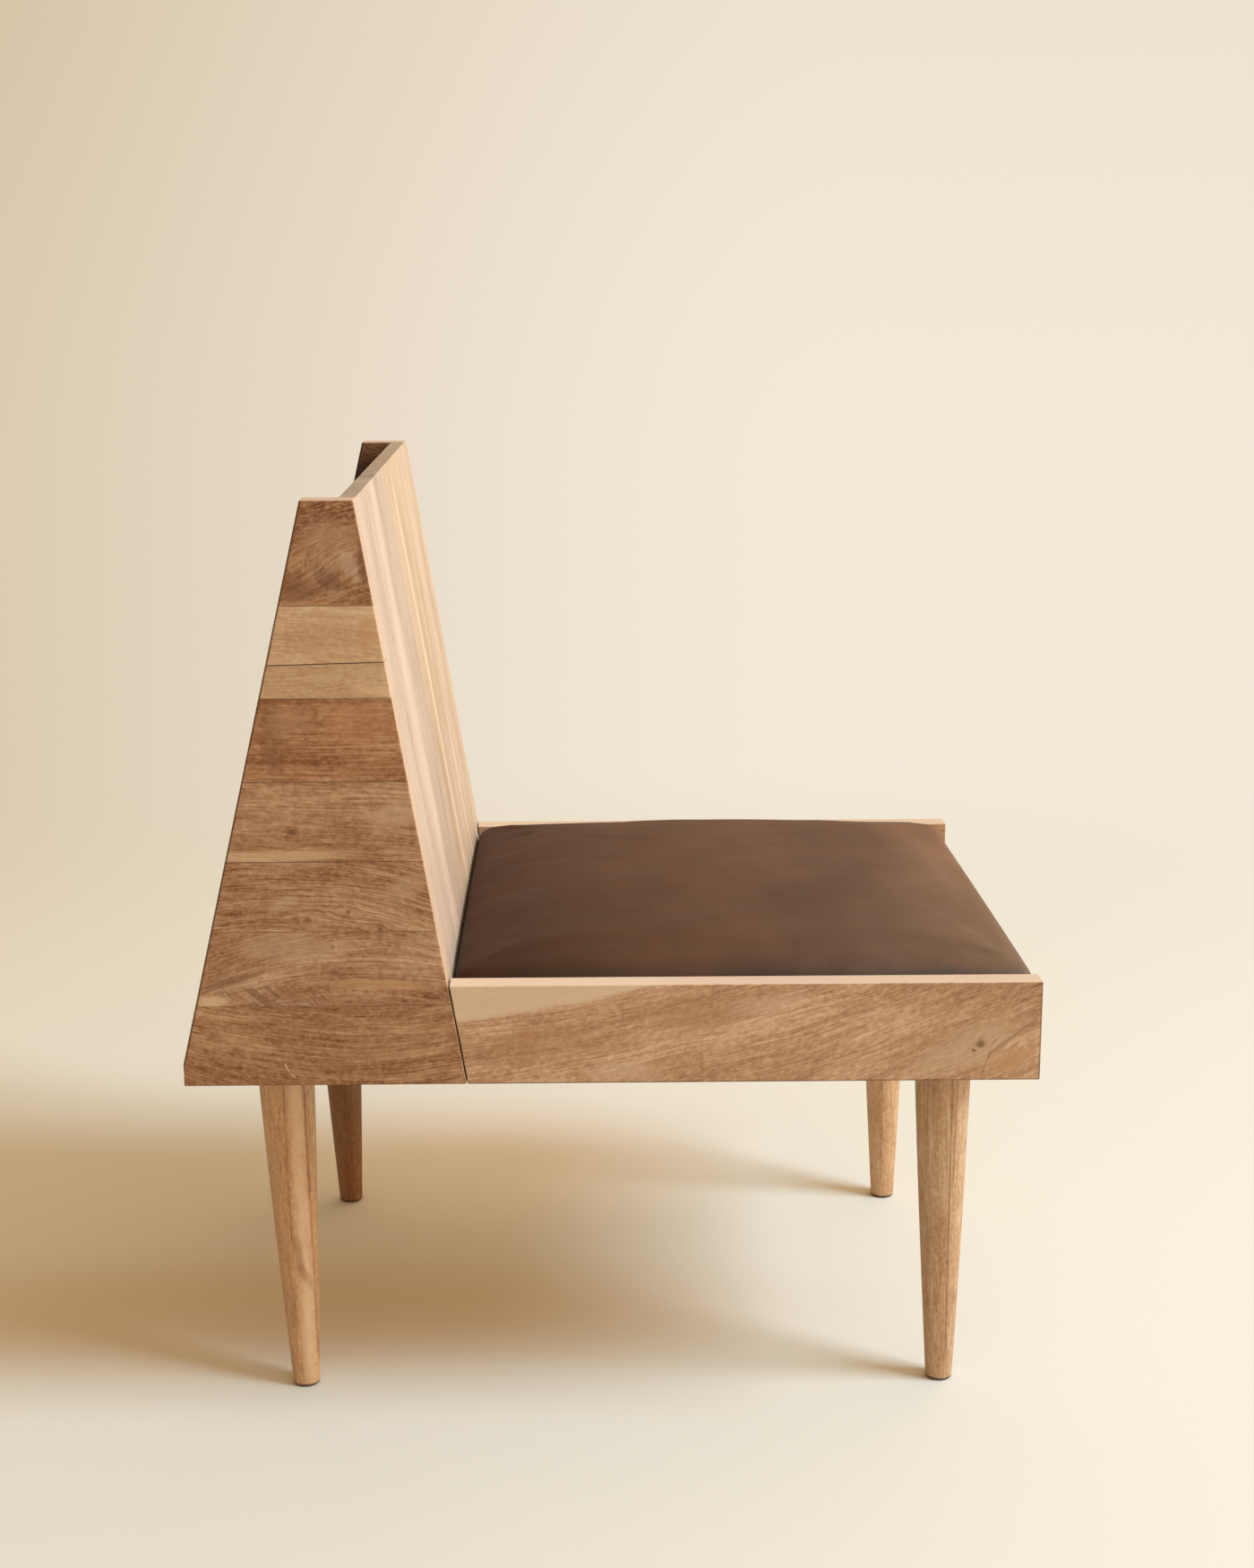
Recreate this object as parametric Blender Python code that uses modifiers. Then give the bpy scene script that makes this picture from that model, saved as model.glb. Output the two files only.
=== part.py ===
"""A lounge chair: wedge-shaped sides glued up from boards, a raked back, a box seat and turned legs.

Metres, +Z up. The chair faces -Y, so its right side is at -X. The origin is on the floor, under the
middle of the chair's outline.
"""

import math
from collections import defaultdict

import bmesh
import bpy
from mathutils import Matrix, Vector

# Overall sizes
OVERALL_WIDTH = 0.550
OVERALL_DEPTH = 0.684
OVERALL_HEIGHT = 0.760
UNDERSIDE_HEIGHT = 0.294

# Side panels, with the heights of their boards as shares, top to bottom
PANEL_THICKNESS = 0.022
SIDE_FOOT_LENGTH = 0.225
SIDE_TOP_LENGTH = 0.041
BACK_SETBACK = 0.078
HEEL_HEIGHT = 0.018
SIDE_BOARD_SHARES = (80.5, 44.7, 27.2, 65.8, 64.0, 56.5, 60.9, 66.4)
OPEN_JOINT = 2
OPEN_JOINT_GAP = 0.0008
OPEN_JOINT_SLOPE = 0.026

# Back panel, with the widths of its boards as shares, right to left
BACK_THICKNESS = 0.013
BACK_BOARD_SHARES = (70, 80, 90, 77, 92, 88)
BATTEN_WIDTH = 0.045
BATTEN_THICKNESS = 0.022
LOWER_BATTEN_HEIGHT = 0.100
UPPER_BATTEN_DROP = 0.107

# Seat box
RAIL_HEIGHT = 0.082
RAIL_JOINT_GAP = 0.0007
FRONT_RAIL_HEIGHT = 0.044
FRONT_RAIL_SETBACK = 0.003
REAR_RAIL_SETBACK = 0.030
LEG_RAIL_WIDTH = 0.080
LEG_RAIL_THICKNESS = 0.028
CLEAT_WIDTH = 0.030
CLEAT_HEIGHT = 0.020
STUB_LENGTH = 0.010
STUB_SHOULDER = 0.006

# Legs, whose feet stand forward of their tops by the rake
LEG_TOP_DIAMETER = 0.047
LEG_FOOT_DIAMETER = 0.0225
LEG_SWELL = 1.2
LEG_FOOT_ROUND = 0.0025
LEG_INSET = 0.075
REAR_LEG_SETBACK = 0.071
FRONT_LEG_SETBACK = 0.067
REAR_LEG_RAKE = 0.009
FRONT_LEG_RAKE = 0.004
TENON_DIAMETER = 0.026
TENON_SHORT = 0.001
WEDGE_DEPTH = 0.022
WEDGE_HEAD = 0.0034
WEDGE_TIP = 0.0012

# Seat pad
PAD_GAP = 0.0020
PAD_FRONT_SETBACK = 0.002
PAD_RIM_HEIGHT = 0.041
PAD_CROWN = 0.028
PAD_CROWN_FULLNESS = 0.5
PAD_WAIST_HEIGHT = 0.019
PAD_TUCK = 0.004
PAD_SHOULDER = 0.006
COVER_THICKNESS = 0.0014
COVER_LIP = 0.010
SEAT_BOARD_THICKNESS = 0.012
SEAT_BOARD_INSET = 0.011
SEAT_BOARD_CORNER = 0.036

# Fasteners
DOWEL_DIAMETER = 0.010
DOWEL_BITE = 0.024
DOWEL_SPACING = 0.028
DOWEL_EDGE = 0.016
SCREW_DIAMETER = 0.004
SCREW_HEAD_DIAMETER = 0.008
SCREW_HEAD_DEPTH = 0.0026
SCREW_TIP = 0.003
CLEAT_SCREW_BITE = 0.013
SEAT_SCREW_BITE = 0.008
RAKED_JOINT_DOWELS = 2
CLEAT_SCREWS = 3
SEAT_SCREWS = 2
SEAT_SCREW_TO_LIP = 0.003

# Fits and finish
FIT = 0.0003
LOOSE_FIT = 0.0015
OVERCUT = 0.002
WELD = 1e-6
EDGE_EASE = 0.0011
SMALL_EASE = 0.0008
EASE_SEGMENTS = 2
TURNED_STEPS = 24
FASTENER_STEPS = 12
LEG_STATIONS = 7
CORNER_STEPS = 4
PAD_CELLS = 6
PAD_CELL_CROWDING = 2.6
PAD_LEAN_POWER = 4
SMOOTH_ANGLE = math.radians(35)

# Places that follow from the sizes above
REAR_Y = OVERALL_DEPTH / 2
FRONT_Y = -OVERALL_DEPTH / 2
SIDE_FRONT_Y = REAR_Y - SIDE_FOOT_LENGTH
PANEL_HEIGHT = OVERALL_HEIGHT - UNDERSIDE_HEIGHT
INNER_X = OVERALL_WIDTH / 2 - PANEL_THICKNESS
SPAN = 2 * (INNER_X - FIT)
RAIL_TOP_Z = UNDERSIDE_HEIGHT + RAIL_HEIGHT
PAD_SEAT_Z = UNDERSIDE_HEIGHT + FRONT_RAIL_HEIGHT
BACK_SLOPE = BACK_SETBACK / PANEL_HEIGHT
BACK_ANGLE = math.atan(BACK_SLOPE)
BACK_UP = Vector((0, math.sin(BACK_ANGLE), math.cos(BACK_ANGLE)))
BACK_REARWARD = Vector((0, math.cos(BACK_ANGLE), -math.sin(BACK_ANGLE)))
BACK_FOOT = Vector((0, SIDE_FRONT_Y, UNDERSIDE_HEIGHT))
UPPER_BATTEN_HEIGHT = PANEL_HEIGHT / math.cos(BACK_ANGLE) - UPPER_BATTEN_DROP
FRONT_RAIL_REAR_Y = FRONT_Y + FRONT_RAIL_SETBACK + PANEL_THICKNESS
REAR_LEG_Y = REAR_Y - REAR_LEG_SETBACK
FRONT_LEG_Y = FRONT_Y + FRONT_LEG_SETBACK
LEG_X = OVERALL_WIDTH / 2 - LEG_INSET
FRONT_LEG_RAIL_Y = FRONT_RAIL_REAR_Y + FIT
REAR_LEG_RAIL_Y = REAR_LEG_Y - LEG_RAIL_WIDTH / 2
LEG_RAIL_TOP_Z = UNDERSIDE_HEIGHT + LEG_RAIL_THICKNESS
TENON_TOP_Z = LEG_RAIL_TOP_Z - TENON_SHORT
SEAT_SCREW_X = INNER_X - PAD_GAP - PAD_TUCK - COVER_LIP - SEAT_SCREW_TO_LIP - SCREW_DIAMETER / 2
HANDS = {"right": -1, "left": 1}
SEAT_RAILS = [f"{hand}_seat_rail" for hand in HANDS]

# Base colours and roughness of the sub-parts
FINISHES = {
    "dark_board": ((0.20, 0.095, 0.040), 0.55),
    "tan_board": ((0.43, 0.26, 0.135), 0.55),
    "red_board": ((0.25, 0.115, 0.050), 0.55),
    "brown_board": ((0.30, 0.155, 0.072), 0.55),
    "honey_rail": ((0.40, 0.225, 0.105), 0.52),
    "pale_back": ((0.66, 0.45, 0.29), 0.55),
    "leg_wood": ((0.42, 0.245, 0.120), 0.50),
    "frame_wood": ((0.48, 0.32, 0.18), 0.65),
    "dowel_wood": ((0.60, 0.45, 0.28), 0.65),
    "leather": ((0.060, 0.030, 0.018), 0.60),
    "plywood": ((0.58, 0.42, 0.25), 0.65),
    "foam": ((0.75, 0.68, 0.48), 0.90),
    "screw_steel": ((0.55, 0.53, 0.48), 0.35),
}
METAL_FINISHES = {"screw_steel"}
SIDE_BOARD_FINISHES = ("dark_board", "tan_board", "tan_board", "red_board",
                       "brown_board", "brown_board", "brown_board", "brown_board")

cutters = defaultdict(bmesh.new)


def new_collection(name):
    """Make a collection under the scene."""
    collection = bpy.data.collections.new(name)
    bpy.context.scene.collection.children.link(collection)
    return collection


def make_material(name):
    """Make the Principled material of one finish."""
    colour, roughness = FINISHES[name]
    material = bpy.data.materials.new(name)
    material.use_nodes = True
    shader = material.node_tree.nodes["Principled BSDF"]
    shader.inputs["Base Color"].default_value = (*colour, 1.0)
    shader.inputs["Roughness"].default_value = roughness
    shader.inputs["Metallic"].default_value = 1.0 if name in METAL_FINISHES else 0.0
    return material


def box_middle(mesh):
    """Return the middle of a mesh's bounding box."""
    places = [vert.co for vert in mesh.vertices]
    return Vector([(min(values) + max(values)) / 2 for values in zip(*places)])


def add_part(name, mesh, finish):
    """Put a mesh in the chair's collection as a named part, with its origin in its middle."""
    mesh.name = name
    middle = box_middle(mesh)
    mesh.transform(Matrix.Translation(-middle))
    mesh.materials.clear()
    mesh.materials.append(materials[finish])
    mesh.shade_smooth()
    mesh.set_sharp_from_angle(angle=SMOOTH_ANGLE)
    part = bpy.data.objects.new(name, mesh)
    part.location = middle
    part.parent = stand
    chair.objects.link(part)
    return part


def evaluated_mesh(holder):
    """Turn an object into a plain welded mesh and remove the object."""
    bpy.context.scene.collection.objects.link(holder)
    graph = bpy.context.evaluated_depsgraph_get()
    mesh = bpy.data.meshes.new_from_object(holder.evaluated_get(graph))
    bpy.data.objects.remove(holder)
    work = bmesh.new()
    work.from_mesh(mesh)
    bmesh.ops.remove_doubles(work, verts=work.verts, dist=WELD)
    work.to_mesh(mesh)
    work.free()
    return mesh


def ease_edges(mesh, width):
    """Round the sharp edges of a mesh a little."""
    work = bmesh.new()
    work.from_mesh(mesh)
    sharp = [edge for edge in work.edges if edge.calc_face_angle(0) > SMOOTH_ANGLE]
    bmesh.ops.bevel(work, geom=sharp, offset=width, segments=EASE_SEGMENTS, profile=0.5, affect="EDGES")
    work.to_mesh(mesh)
    work.free()


def plate(outline, thickness):
    """Fill an outline of (x, y) points and give it a thickness, half above and half below z = 0."""
    curve = bpy.data.curves.new("outline", "CURVE")
    curve.dimensions = "2D"
    curve.fill_mode = "BOTH"
    curve.extrude = thickness / 2
    spline = curve.splines.new("POLY")
    spline.points.add(len(outline) - 1)
    for point, (x, y) in zip(spline.points, outline):
        point.co = (x, y, 0, 1)
    spline.use_cyclic_u = True
    return evaluated_mesh(bpy.data.objects.new("outline", curve))


def extruded(section, length, ease):
    """Extrude a section of (y, z) points along X, centred on x = 0, and ease its edges."""
    mesh = plate(section, length)
    mesh.transform(Matrix(((0, 0, 1, 0), (1, 0, 0, 0), (0, 1, 0, 0), (0, 0, 0, 1))))
    if ease:
        ease_edges(mesh, ease)
    return mesh


def rectangle(y_low, y_high, z_low, z_high):
    """Return a rectangular section of (y, z) points."""
    return (y_low, z_low), (y_high, z_low), (y_high, z_high), (y_low, z_high)


def rounded_rectangle(half_x, half_y, radius):
    """Return the outline of a rectangle about the origin with round corners."""
    outline = []
    for quarter in range(4):
        centre_x = (half_x - radius) * (1 if quarter in (0, 3) else -1)
        centre_y = (half_y - radius) * (1 if quarter in (0, 1) else -1)
        for step in range(CORNER_STEPS + 1):
            angle = math.pi / 2 * (quarter + step / CORNER_STEPS)
            outline.append((centre_x + radius * math.cos(angle), centre_y + radius * math.sin(angle)))
    return outline


def shrunk(section, amount):
    """Return a convex section of (y, z) points, listed anticlockwise, drawn in on every side."""
    corners = [Vector(point) for point in section]
    result = []
    for index, corner in enumerate(corners):
        before = (corner - corners[index - 1]).normalized()
        after = (corners[(index + 1) % len(corners)] - corner).normalized()
        inward = Vector((-before.y, before.x)) + Vector((-after.y, after.x))
        result.append(tuple(corner + inward * amount / (1 + before.dot(after))))
    return result


def turned(profile, steps):
    """Turn a profile of (radius, z) points, listed top to bottom, about the Z axis."""
    mesh = bpy.data.meshes.new("profile")
    points = [(radius, 0, z) for radius, z in profile]
    mesh.from_pydata(points, [(i, i + 1) for i in range(len(points) - 1)], [])
    holder = bpy.data.objects.new("profile", mesh)
    screw = holder.modifiers.new("turn", "SCREW")
    screw.steps = steps
    screw.render_steps = steps
    screw.use_merge_vertices = True
    screw.merge_threshold = WELD
    return evaluated_mesh(holder)


def trim(mesh, point, normal):
    """Cut away what lies beyond a plane and close the cut."""
    work = bmesh.new()
    work.from_mesh(mesh)
    everything = work.verts[:] + work.edges[:] + work.faces[:]
    bmesh.ops.bisect_plane(work, geom=everything, dist=WELD, plane_co=point, plane_no=normal,
                           clear_outer=True)
    bmesh.ops.holes_fill(work, edges=[edge for edge in work.edges if edge.is_boundary])
    bmesh.ops.recalc_face_normals(work, faces=work.faces)
    work.to_mesh(mesh)
    work.free()


def split(mesh, shares, low, high, axis, gaps, slopes):
    """Saw a panel into boards along an axis, from its low end to its high end.

    Joint number i lies after board i, with the gap gaps(i) and, along Y, the slope slopes(i).
    """
    boards = []
    place = low
    for number, share in enumerate(shares, start=1):
        board = mesh.copy()
        if number > 1:
            normal = axis - Vector((0, slopes(number - 1), 0))
            trim(board, axis * (place + gaps(number - 1) / 2), -normal)
        place += (high - low) * share / sum(shares)
        if number < len(shares):
            normal = axis - Vector((0, slopes(number), 0))
            trim(board, axis * (place - gaps(number) / 2), normal)
        boards.append(board)
    bpy.data.meshes.remove(mesh)
    return boards


def add_to(work, mesh, matrix):
    """Add a placed copy of a mesh to a growing one."""
    copy = mesh.copy()
    copy.transform(matrix)
    work.from_mesh(copy)
    bpy.data.meshes.remove(copy)


def pointing(start, direction):
    """Return the matrix that takes +Z to a direction and the origin to a start point."""
    turn = Vector((0, 0, 1)).rotation_difference(direction).to_matrix().to_4x4()
    return Matrix.Translation(start) @ turn


def side_front_y(z):
    """Return where the sides' front edges and the back's front face lie at a height."""
    return SIDE_FRONT_Y + BACK_SLOPE * (z - UNDERSIDE_HEIGHT)


def side_joint_heights():
    """Return the heights of the joints between side boards, top to bottom, ends included."""
    heights = [OVERALL_HEIGHT]
    for share in SIDE_BOARD_SHARES:
        heights.append(heights[-1] - PANEL_HEIGHT * share / sum(SIDE_BOARD_SHARES))
    return heights


def side_boards_near(z, reach, hands=HANDS):
    """Name the side boards that a bore or mortise at a height can touch."""
    heights = side_joint_heights()
    return [f"{hand}_side_board_{number}" for hand in hands for number in range(1, len(heights))
            if heights[number] - reach < z < heights[number - 1] + reach]


def make_sides():
    """Saw both wedge-shaped side panels into their boards."""
    outline = ((SIDE_FRONT_Y, UNDERSIDE_HEIGHT),
               (REAR_Y, UNDERSIDE_HEIGHT),
               (REAR_Y, UNDERSIDE_HEIGHT + HEEL_HEIGHT),
               (side_front_y(OVERALL_HEIGHT) + SIDE_TOP_LENGTH, OVERALL_HEIGHT),
               (side_front_y(OVERALL_HEIGHT), OVERALL_HEIGHT))
    count = len(SIDE_BOARD_SHARES)
    open_from_below = count - OPEN_JOINT
    open_joint_z = side_joint_heights()[OPEN_JOINT]
    # The sloped joint turns about the middle of the panel at its height.
    middle_y = side_front_y(open_joint_z) + SIDE_TOP_LENGTH

    def gaps(joint):
        return OPEN_JOINT_GAP if joint == open_from_below else FIT

    def slopes(joint):
        return -OPEN_JOINT_SLOPE if joint == open_from_below else 0

    for hand, sign in HANDS.items():
        panel = extruded(outline, PANEL_THICKNESS, EDGE_EASE)
        panel.transform(Matrix.Translation((sign * (OVERALL_WIDTH - PANEL_THICKNESS) / 2, -middle_y, 0)))
        boards = split(panel, SIDE_BOARD_SHARES[::-1], UNDERSIDE_HEIGHT, OVERALL_HEIGHT,
                       Vector((0, 0, 1)), gaps, slopes)
        for number, board in enumerate(reversed(boards), start=1):
            board.transform(Matrix.Translation((0, middle_y, 0)))
            add_part(f"{hand}_side_board_{number}", board, SIDE_BOARD_FINISHES[number - 1])


def make_back():
    """Saw the raked back panel into boards and put the two battens behind them."""
    depth = BACK_THICKNESS / math.cos(BACK_ANGLE)
    outline = ((side_front_y(UNDERSIDE_HEIGHT), UNDERSIDE_HEIGHT),
               (side_front_y(UNDERSIDE_HEIGHT) + depth, UNDERSIDE_HEIGHT),
               (side_front_y(OVERALL_HEIGHT) + depth, OVERALL_HEIGHT),
               (side_front_y(OVERALL_HEIGHT), OVERALL_HEIGHT))
    boards = split(extruded(outline, SPAN, SMALL_EASE), BACK_BOARD_SHARES, -SPAN / 2, SPAN / 2,
                   Vector((1, 0, 0)), lambda joint: FIT, lambda joint: 0)
    for number, board in enumerate(boards, start=1):
        add_part(f"back_board_{number}", board, "pale_back")
    section = rectangle(0, BATTEN_THICKNESS, -BATTEN_WIDTH / 2, BATTEN_WIDTH / 2)
    for row, height in (("lower", LOWER_BATTEN_HEIGHT), ("upper", UPPER_BATTEN_HEIGHT)):
        face = BACK_FOOT + BACK_UP * height + BACK_REARWARD * (BACK_THICKNESS + FIT)
        place = Matrix.Translation(face) @ Matrix.Rotation(-BACK_ANGLE, 4, "X")
        make_cross_piece(f"{row}_back_batten", section, "frame_wood",
                         side_boards_near(face.z, BATTEN_WIDTH), place)


def make_cross_piece(name, section, finish, neighbours, place=Matrix.Identity(4)):
    """Make a piece between the two sides with a stub tenon at each end, mortised into its neighbours."""
    body = extruded(section, SPAN, SMALL_EASE)
    body.transform(place)
    part = add_part(name, body, finish)
    tongue = extruded(shrunk(section, STUB_SHOULDER), SPAN + 2 * STUB_LENGTH, 0)
    tongue.transform(place)
    add_boolean(part, "UNION", tongue, f"{name}_tenons")
    mortise = extruded(shrunk(section, STUB_SHOULDER - FIT), SPAN + 2 * (STUB_LENGTH + FIT), 0)
    for neighbour in neighbours:
        add_to(cutters[neighbour], mortise, place)
    bpy.data.meshes.remove(mortise)


def make_seat_box():
    """Make the rails, cross rails and cleats under the seat pad."""
    outline = ((FRONT_Y, UNDERSIDE_HEIGHT),
               (side_front_y(UNDERSIDE_HEIGHT) - RAIL_JOINT_GAP, UNDERSIDE_HEIGHT),
               (side_front_y(RAIL_TOP_Z) - RAIL_JOINT_GAP, RAIL_TOP_Z),
               (FRONT_Y, RAIL_TOP_Z))
    for hand, sign in HANDS.items():
        rail = extruded(outline, PANEL_THICKNESS, EDGE_EASE)
        rail.transform(Matrix.Translation((sign * (OVERALL_WIDTH - PANEL_THICKNESS) / 2, 0, 0)))
        add_part(f"{hand}_seat_rail", rail, "honey_rail")
        dowel_raked_joint(hand, sign)

    front = rectangle(FRONT_Y + FRONT_RAIL_SETBACK, FRONT_RAIL_REAR_Y, UNDERSIDE_HEIGHT, PAD_SEAT_Z)
    make_cross_piece("front_rail", front, "honey_rail", SEAT_RAILS)
    rear_y = SIDE_FRONT_Y - REAR_RAIL_SETBACK
    rear = rectangle(rear_y - PANEL_THICKNESS, rear_y, UNDERSIDE_HEIGHT, PAD_SEAT_Z)
    make_cross_piece("rear_seat_rail", rear, "frame_wood", SEAT_RAILS)
    make_cleats(FRONT_LEG_RAIL_Y + LEG_RAIL_WIDTH + FIT, rear_y - PANEL_THICKNESS - FIT)


def dowel_raked_joint(hand, sign):
    """Dowel a seat rail to the side behind it, square to the raked joint."""
    x = sign * (OVERALL_WIDTH - PANEL_THICKNESS) / 2
    radius = DOWEL_DIAMETER / 2
    solid = turned(((0, DOWEL_BITE), (radius - SMALL_EASE, DOWEL_BITE), (radius, DOWEL_BITE - SMALL_EASE),
                    (radius, SMALL_EASE - DOWEL_BITE), (radius - SMALL_EASE, -DOWEL_BITE), (0, -DOWEL_BITE)),
                   FASTENER_STEPS)
    bore = turned(((0, DOWEL_BITE + FIT), (radius + FIT, DOWEL_BITE + FIT),
                   (radius + FIT, -DOWEL_BITE - FIT), (0, -DOWEL_BITE - FIT)), FASTENER_STEPS)
    for number in range(RAKED_JOINT_DOWELS):
        z = UNDERSIDE_HEIGHT + DOWEL_EDGE + DOWEL_SPACING * number
        place = Vector((x, side_front_y(z) - RAIL_JOINT_GAP / 2, z))
        held = [f"{hand}_seat_rail", *side_boards_near(z, DOWEL_DIAMETER, [hand])]
        place_fastener(f"{hand}_rail_dowel_{number + 1}", solid, bore, pointing(place, BACK_REARWARD),
                       held, "dowel_wood")


def make_cleats(front_y, rear_y):
    """Make the cleats that carry the pad's sides, screwed to the rails and up into the seat board."""
    inner_x = INNER_X - FIT - CLEAT_WIDTH
    length = rear_y - front_y
    side_screw = CLEAT_WIDTH + FIT + CLEAT_SCREW_BITE
    seat_screw = CLEAT_HEIGHT + COVER_THICKNESS + 2 * FIT + SEAT_SCREW_BITE
    for hand, sign in HANDS.items():
        name = f"{hand}_seat_cleat"
        cleat = extruded(rectangle(front_y, rear_y, PAD_SEAT_Z - CLEAT_HEIGHT, PAD_SEAT_Z), CLEAT_WIDTH,
                         SMALL_EASE)
        cleat.transform(Matrix.Translation((sign * (inner_x + CLEAT_WIDTH / 2), 0, 0)))
        add_part(name, cleat, "frame_wood")
        for number in range(CLEAT_SCREWS):
            y = front_y + length * (number + 0.5) / CLEAT_SCREWS
            head = Vector((sign * inner_x, y, PAD_SEAT_Z - CLEAT_HEIGHT / 2))
            set_screw(f"{hand}_cleat_screw_{number + 1}", head, Vector((sign, 0, 0)), side_screw,
                      [name, f"{hand}_seat_rail"])
        for number in range(SEAT_SCREWS):
            y = front_y + length * (number + 1) / (SEAT_SCREWS + 1)
            head = Vector((sign * SEAT_SCREW_X, y, PAD_SEAT_Z - CLEAT_HEIGHT))
            set_screw(f"{hand}_seat_screw_{number + 1}", head, Vector((0, 0, 1)), seat_screw,
                      [name, "seat_board"])


def set_screw(name, head, direction, length, held):
    """Drive a countersunk screw from its head's place along a direction and bore its pieces for it."""
    radius = SCREW_DIAMETER / 2
    head_radius = SCREW_HEAD_DIAMETER / 2
    solid = turned(((0, length), (radius, length - SCREW_TIP), (radius, SCREW_HEAD_DEPTH), (head_radius, 0),
                    (0, 0)), FASTENER_STEPS)
    bore = turned(((0, length + FIT), (radius + FIT, length - SCREW_TIP + FIT),
                   (radius + FIT, SCREW_HEAD_DEPTH), (head_radius + FIT, 0), (head_radius + FIT, -OVERCUT),
                   (0, -OVERCUT)), FASTENER_STEPS)
    place_fastener(name, solid, bore, pointing(head, direction), held, "screw_steel")


def place_fastener(name, solid, bore, matrix, held, finish):
    """Put a copy of a fastener in its place and its bore in the cutter of each piece that it holds."""
    mesh = solid.copy()
    mesh.transform(matrix)
    add_part(name, mesh, finish)
    for node in held:
        add_to(cutters[node], bore, matrix)


def leg_profile():
    """Return a leg's outline from the top of its tenon to the middle of its foot."""
    shoulder_z = UNDERSIDE_HEIGHT - FIT
    top, foot = LEG_TOP_DIAMETER / 2, LEG_FOOT_DIAMETER / 2
    points = [(0, TENON_TOP_Z), (TENON_DIAMETER / 2, TENON_TOP_Z), (TENON_DIAMETER / 2, shoulder_z)]
    for station in range(LEG_STATIONS + 1):
        fall = station / LEG_STATIONS
        z = shoulder_z + (LEG_FOOT_ROUND - shoulder_z) * fall
        points.append((foot + (top - foot) * (1 - fall ** LEG_SWELL), z))
    return [*points, (foot - LEG_FOOT_ROUND, 0), (0, 0)]


def lean(rake):
    """Return the matrix that leans a leg forward at its foot and keeps its shoulder and foot level."""
    matrix = Matrix.Identity(4)
    matrix[1][2] = rake / UNDERSIDE_HEIGHT
    return matrix @ Matrix.Translation((0, 0, -UNDERSIDE_HEIGHT))


def make_legs():
    """Make the leg rails, the turned legs tenoned into them, and the wedges that lock the tenons."""
    rows = (("front", FRONT_LEG_RAIL_Y, FRONT_LEG_Y, FRONT_LEG_RAKE, SEAT_RAILS),
            ("rear", REAR_LEG_RAIL_Y, REAR_LEG_Y, REAR_LEG_RAKE,
             side_boards_near(UNDERSIDE_HEIGHT, LEG_RAIL_THICKNESS)))
    bore_radius = TENON_DIAMETER / 2 + FIT
    bore = turned(((0, LEG_RAIL_TOP_Z + OVERCUT), (bore_radius, LEG_RAIL_TOP_Z + OVERCUT),
                   (bore_radius, UNDERSIDE_HEIGHT - OVERCUT), (0, UNDERSIDE_HEIGHT - OVERCUT)), TURNED_STEPS)
    chord = 2 * math.sqrt((TENON_DIAMETER / 2) ** 2 - (WEDGE_HEAD / 2) ** 2)
    key = wedge(chord - 2 * FIT, 0, 0)
    kerf = wedge(TENON_DIAMETER + 2 * OVERCUT, FIT, OVERCUT)
    for row, rail_y, leg_y, rake, neighbours in rows:
        section = rectangle(rail_y, rail_y + LEG_RAIL_WIDTH, UNDERSIDE_HEIGHT, LEG_RAIL_TOP_Z)
        make_cross_piece(f"{row}_leg_rail", section, "frame_wood", neighbours)
        for hand, sign in HANDS.items():
            place = Matrix.Translation((sign * LEG_X, leg_y, UNDERSIDE_HEIGHT)) @ lean(rake)
            name = f"{hand}_{row}_leg"
            leg = turned(leg_profile(), TURNED_STEPS)
            leg.transform(place)
            add_part(name, leg, "leg_wood")
            add_to(cutters[f"{row}_leg_rail"], bore, place)
            place_fastener(f"{name}_wedge", key, kerf, place, [name], "dowel_wood")


def wedge(length, grown, above):
    """Make a tenon's wedge, lying along Y, or with some growth the kerf that it is driven into."""
    flare = (WEDGE_HEAD - WEDGE_TIP) / (2 * WEDGE_DEPTH)
    depth = WEDGE_DEPTH + grown
    half_tip = WEDGE_TIP / 2 + grown
    half_head = half_tip + flare * (depth + above)
    tip_z, head_z = TENON_TOP_Z - depth, TENON_TOP_Z + above
    section = (-half_tip, tip_z), (half_tip, tip_z), (half_head, head_z), (-half_head, head_z)
    mesh = extruded(section, length, 0)
    mesh.transform(Matrix.Rotation(math.pi / 2, 4, "Z"))
    return mesh


def pad_plan(inset):
    """Return the half width, half depth and middle y of the pad's outline, drawn in by an inset."""
    rear_y = side_front_y(PAD_SEAT_Z) - PAD_GAP - inset
    front_y = FRONT_Y + PAD_FRONT_SETBACK + inset
    return INNER_X - PAD_GAP - inset, (rear_y - front_y) / 2, (rear_y + front_y) / 2


def crowded(place):
    """Move a place between -1 and 1 towards the nearer end, so that the pad's corners stay tight."""
    return math.copysign(1 - (1 - min(abs(place), 1)) ** PAD_CELL_CROWDING, place)


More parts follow.
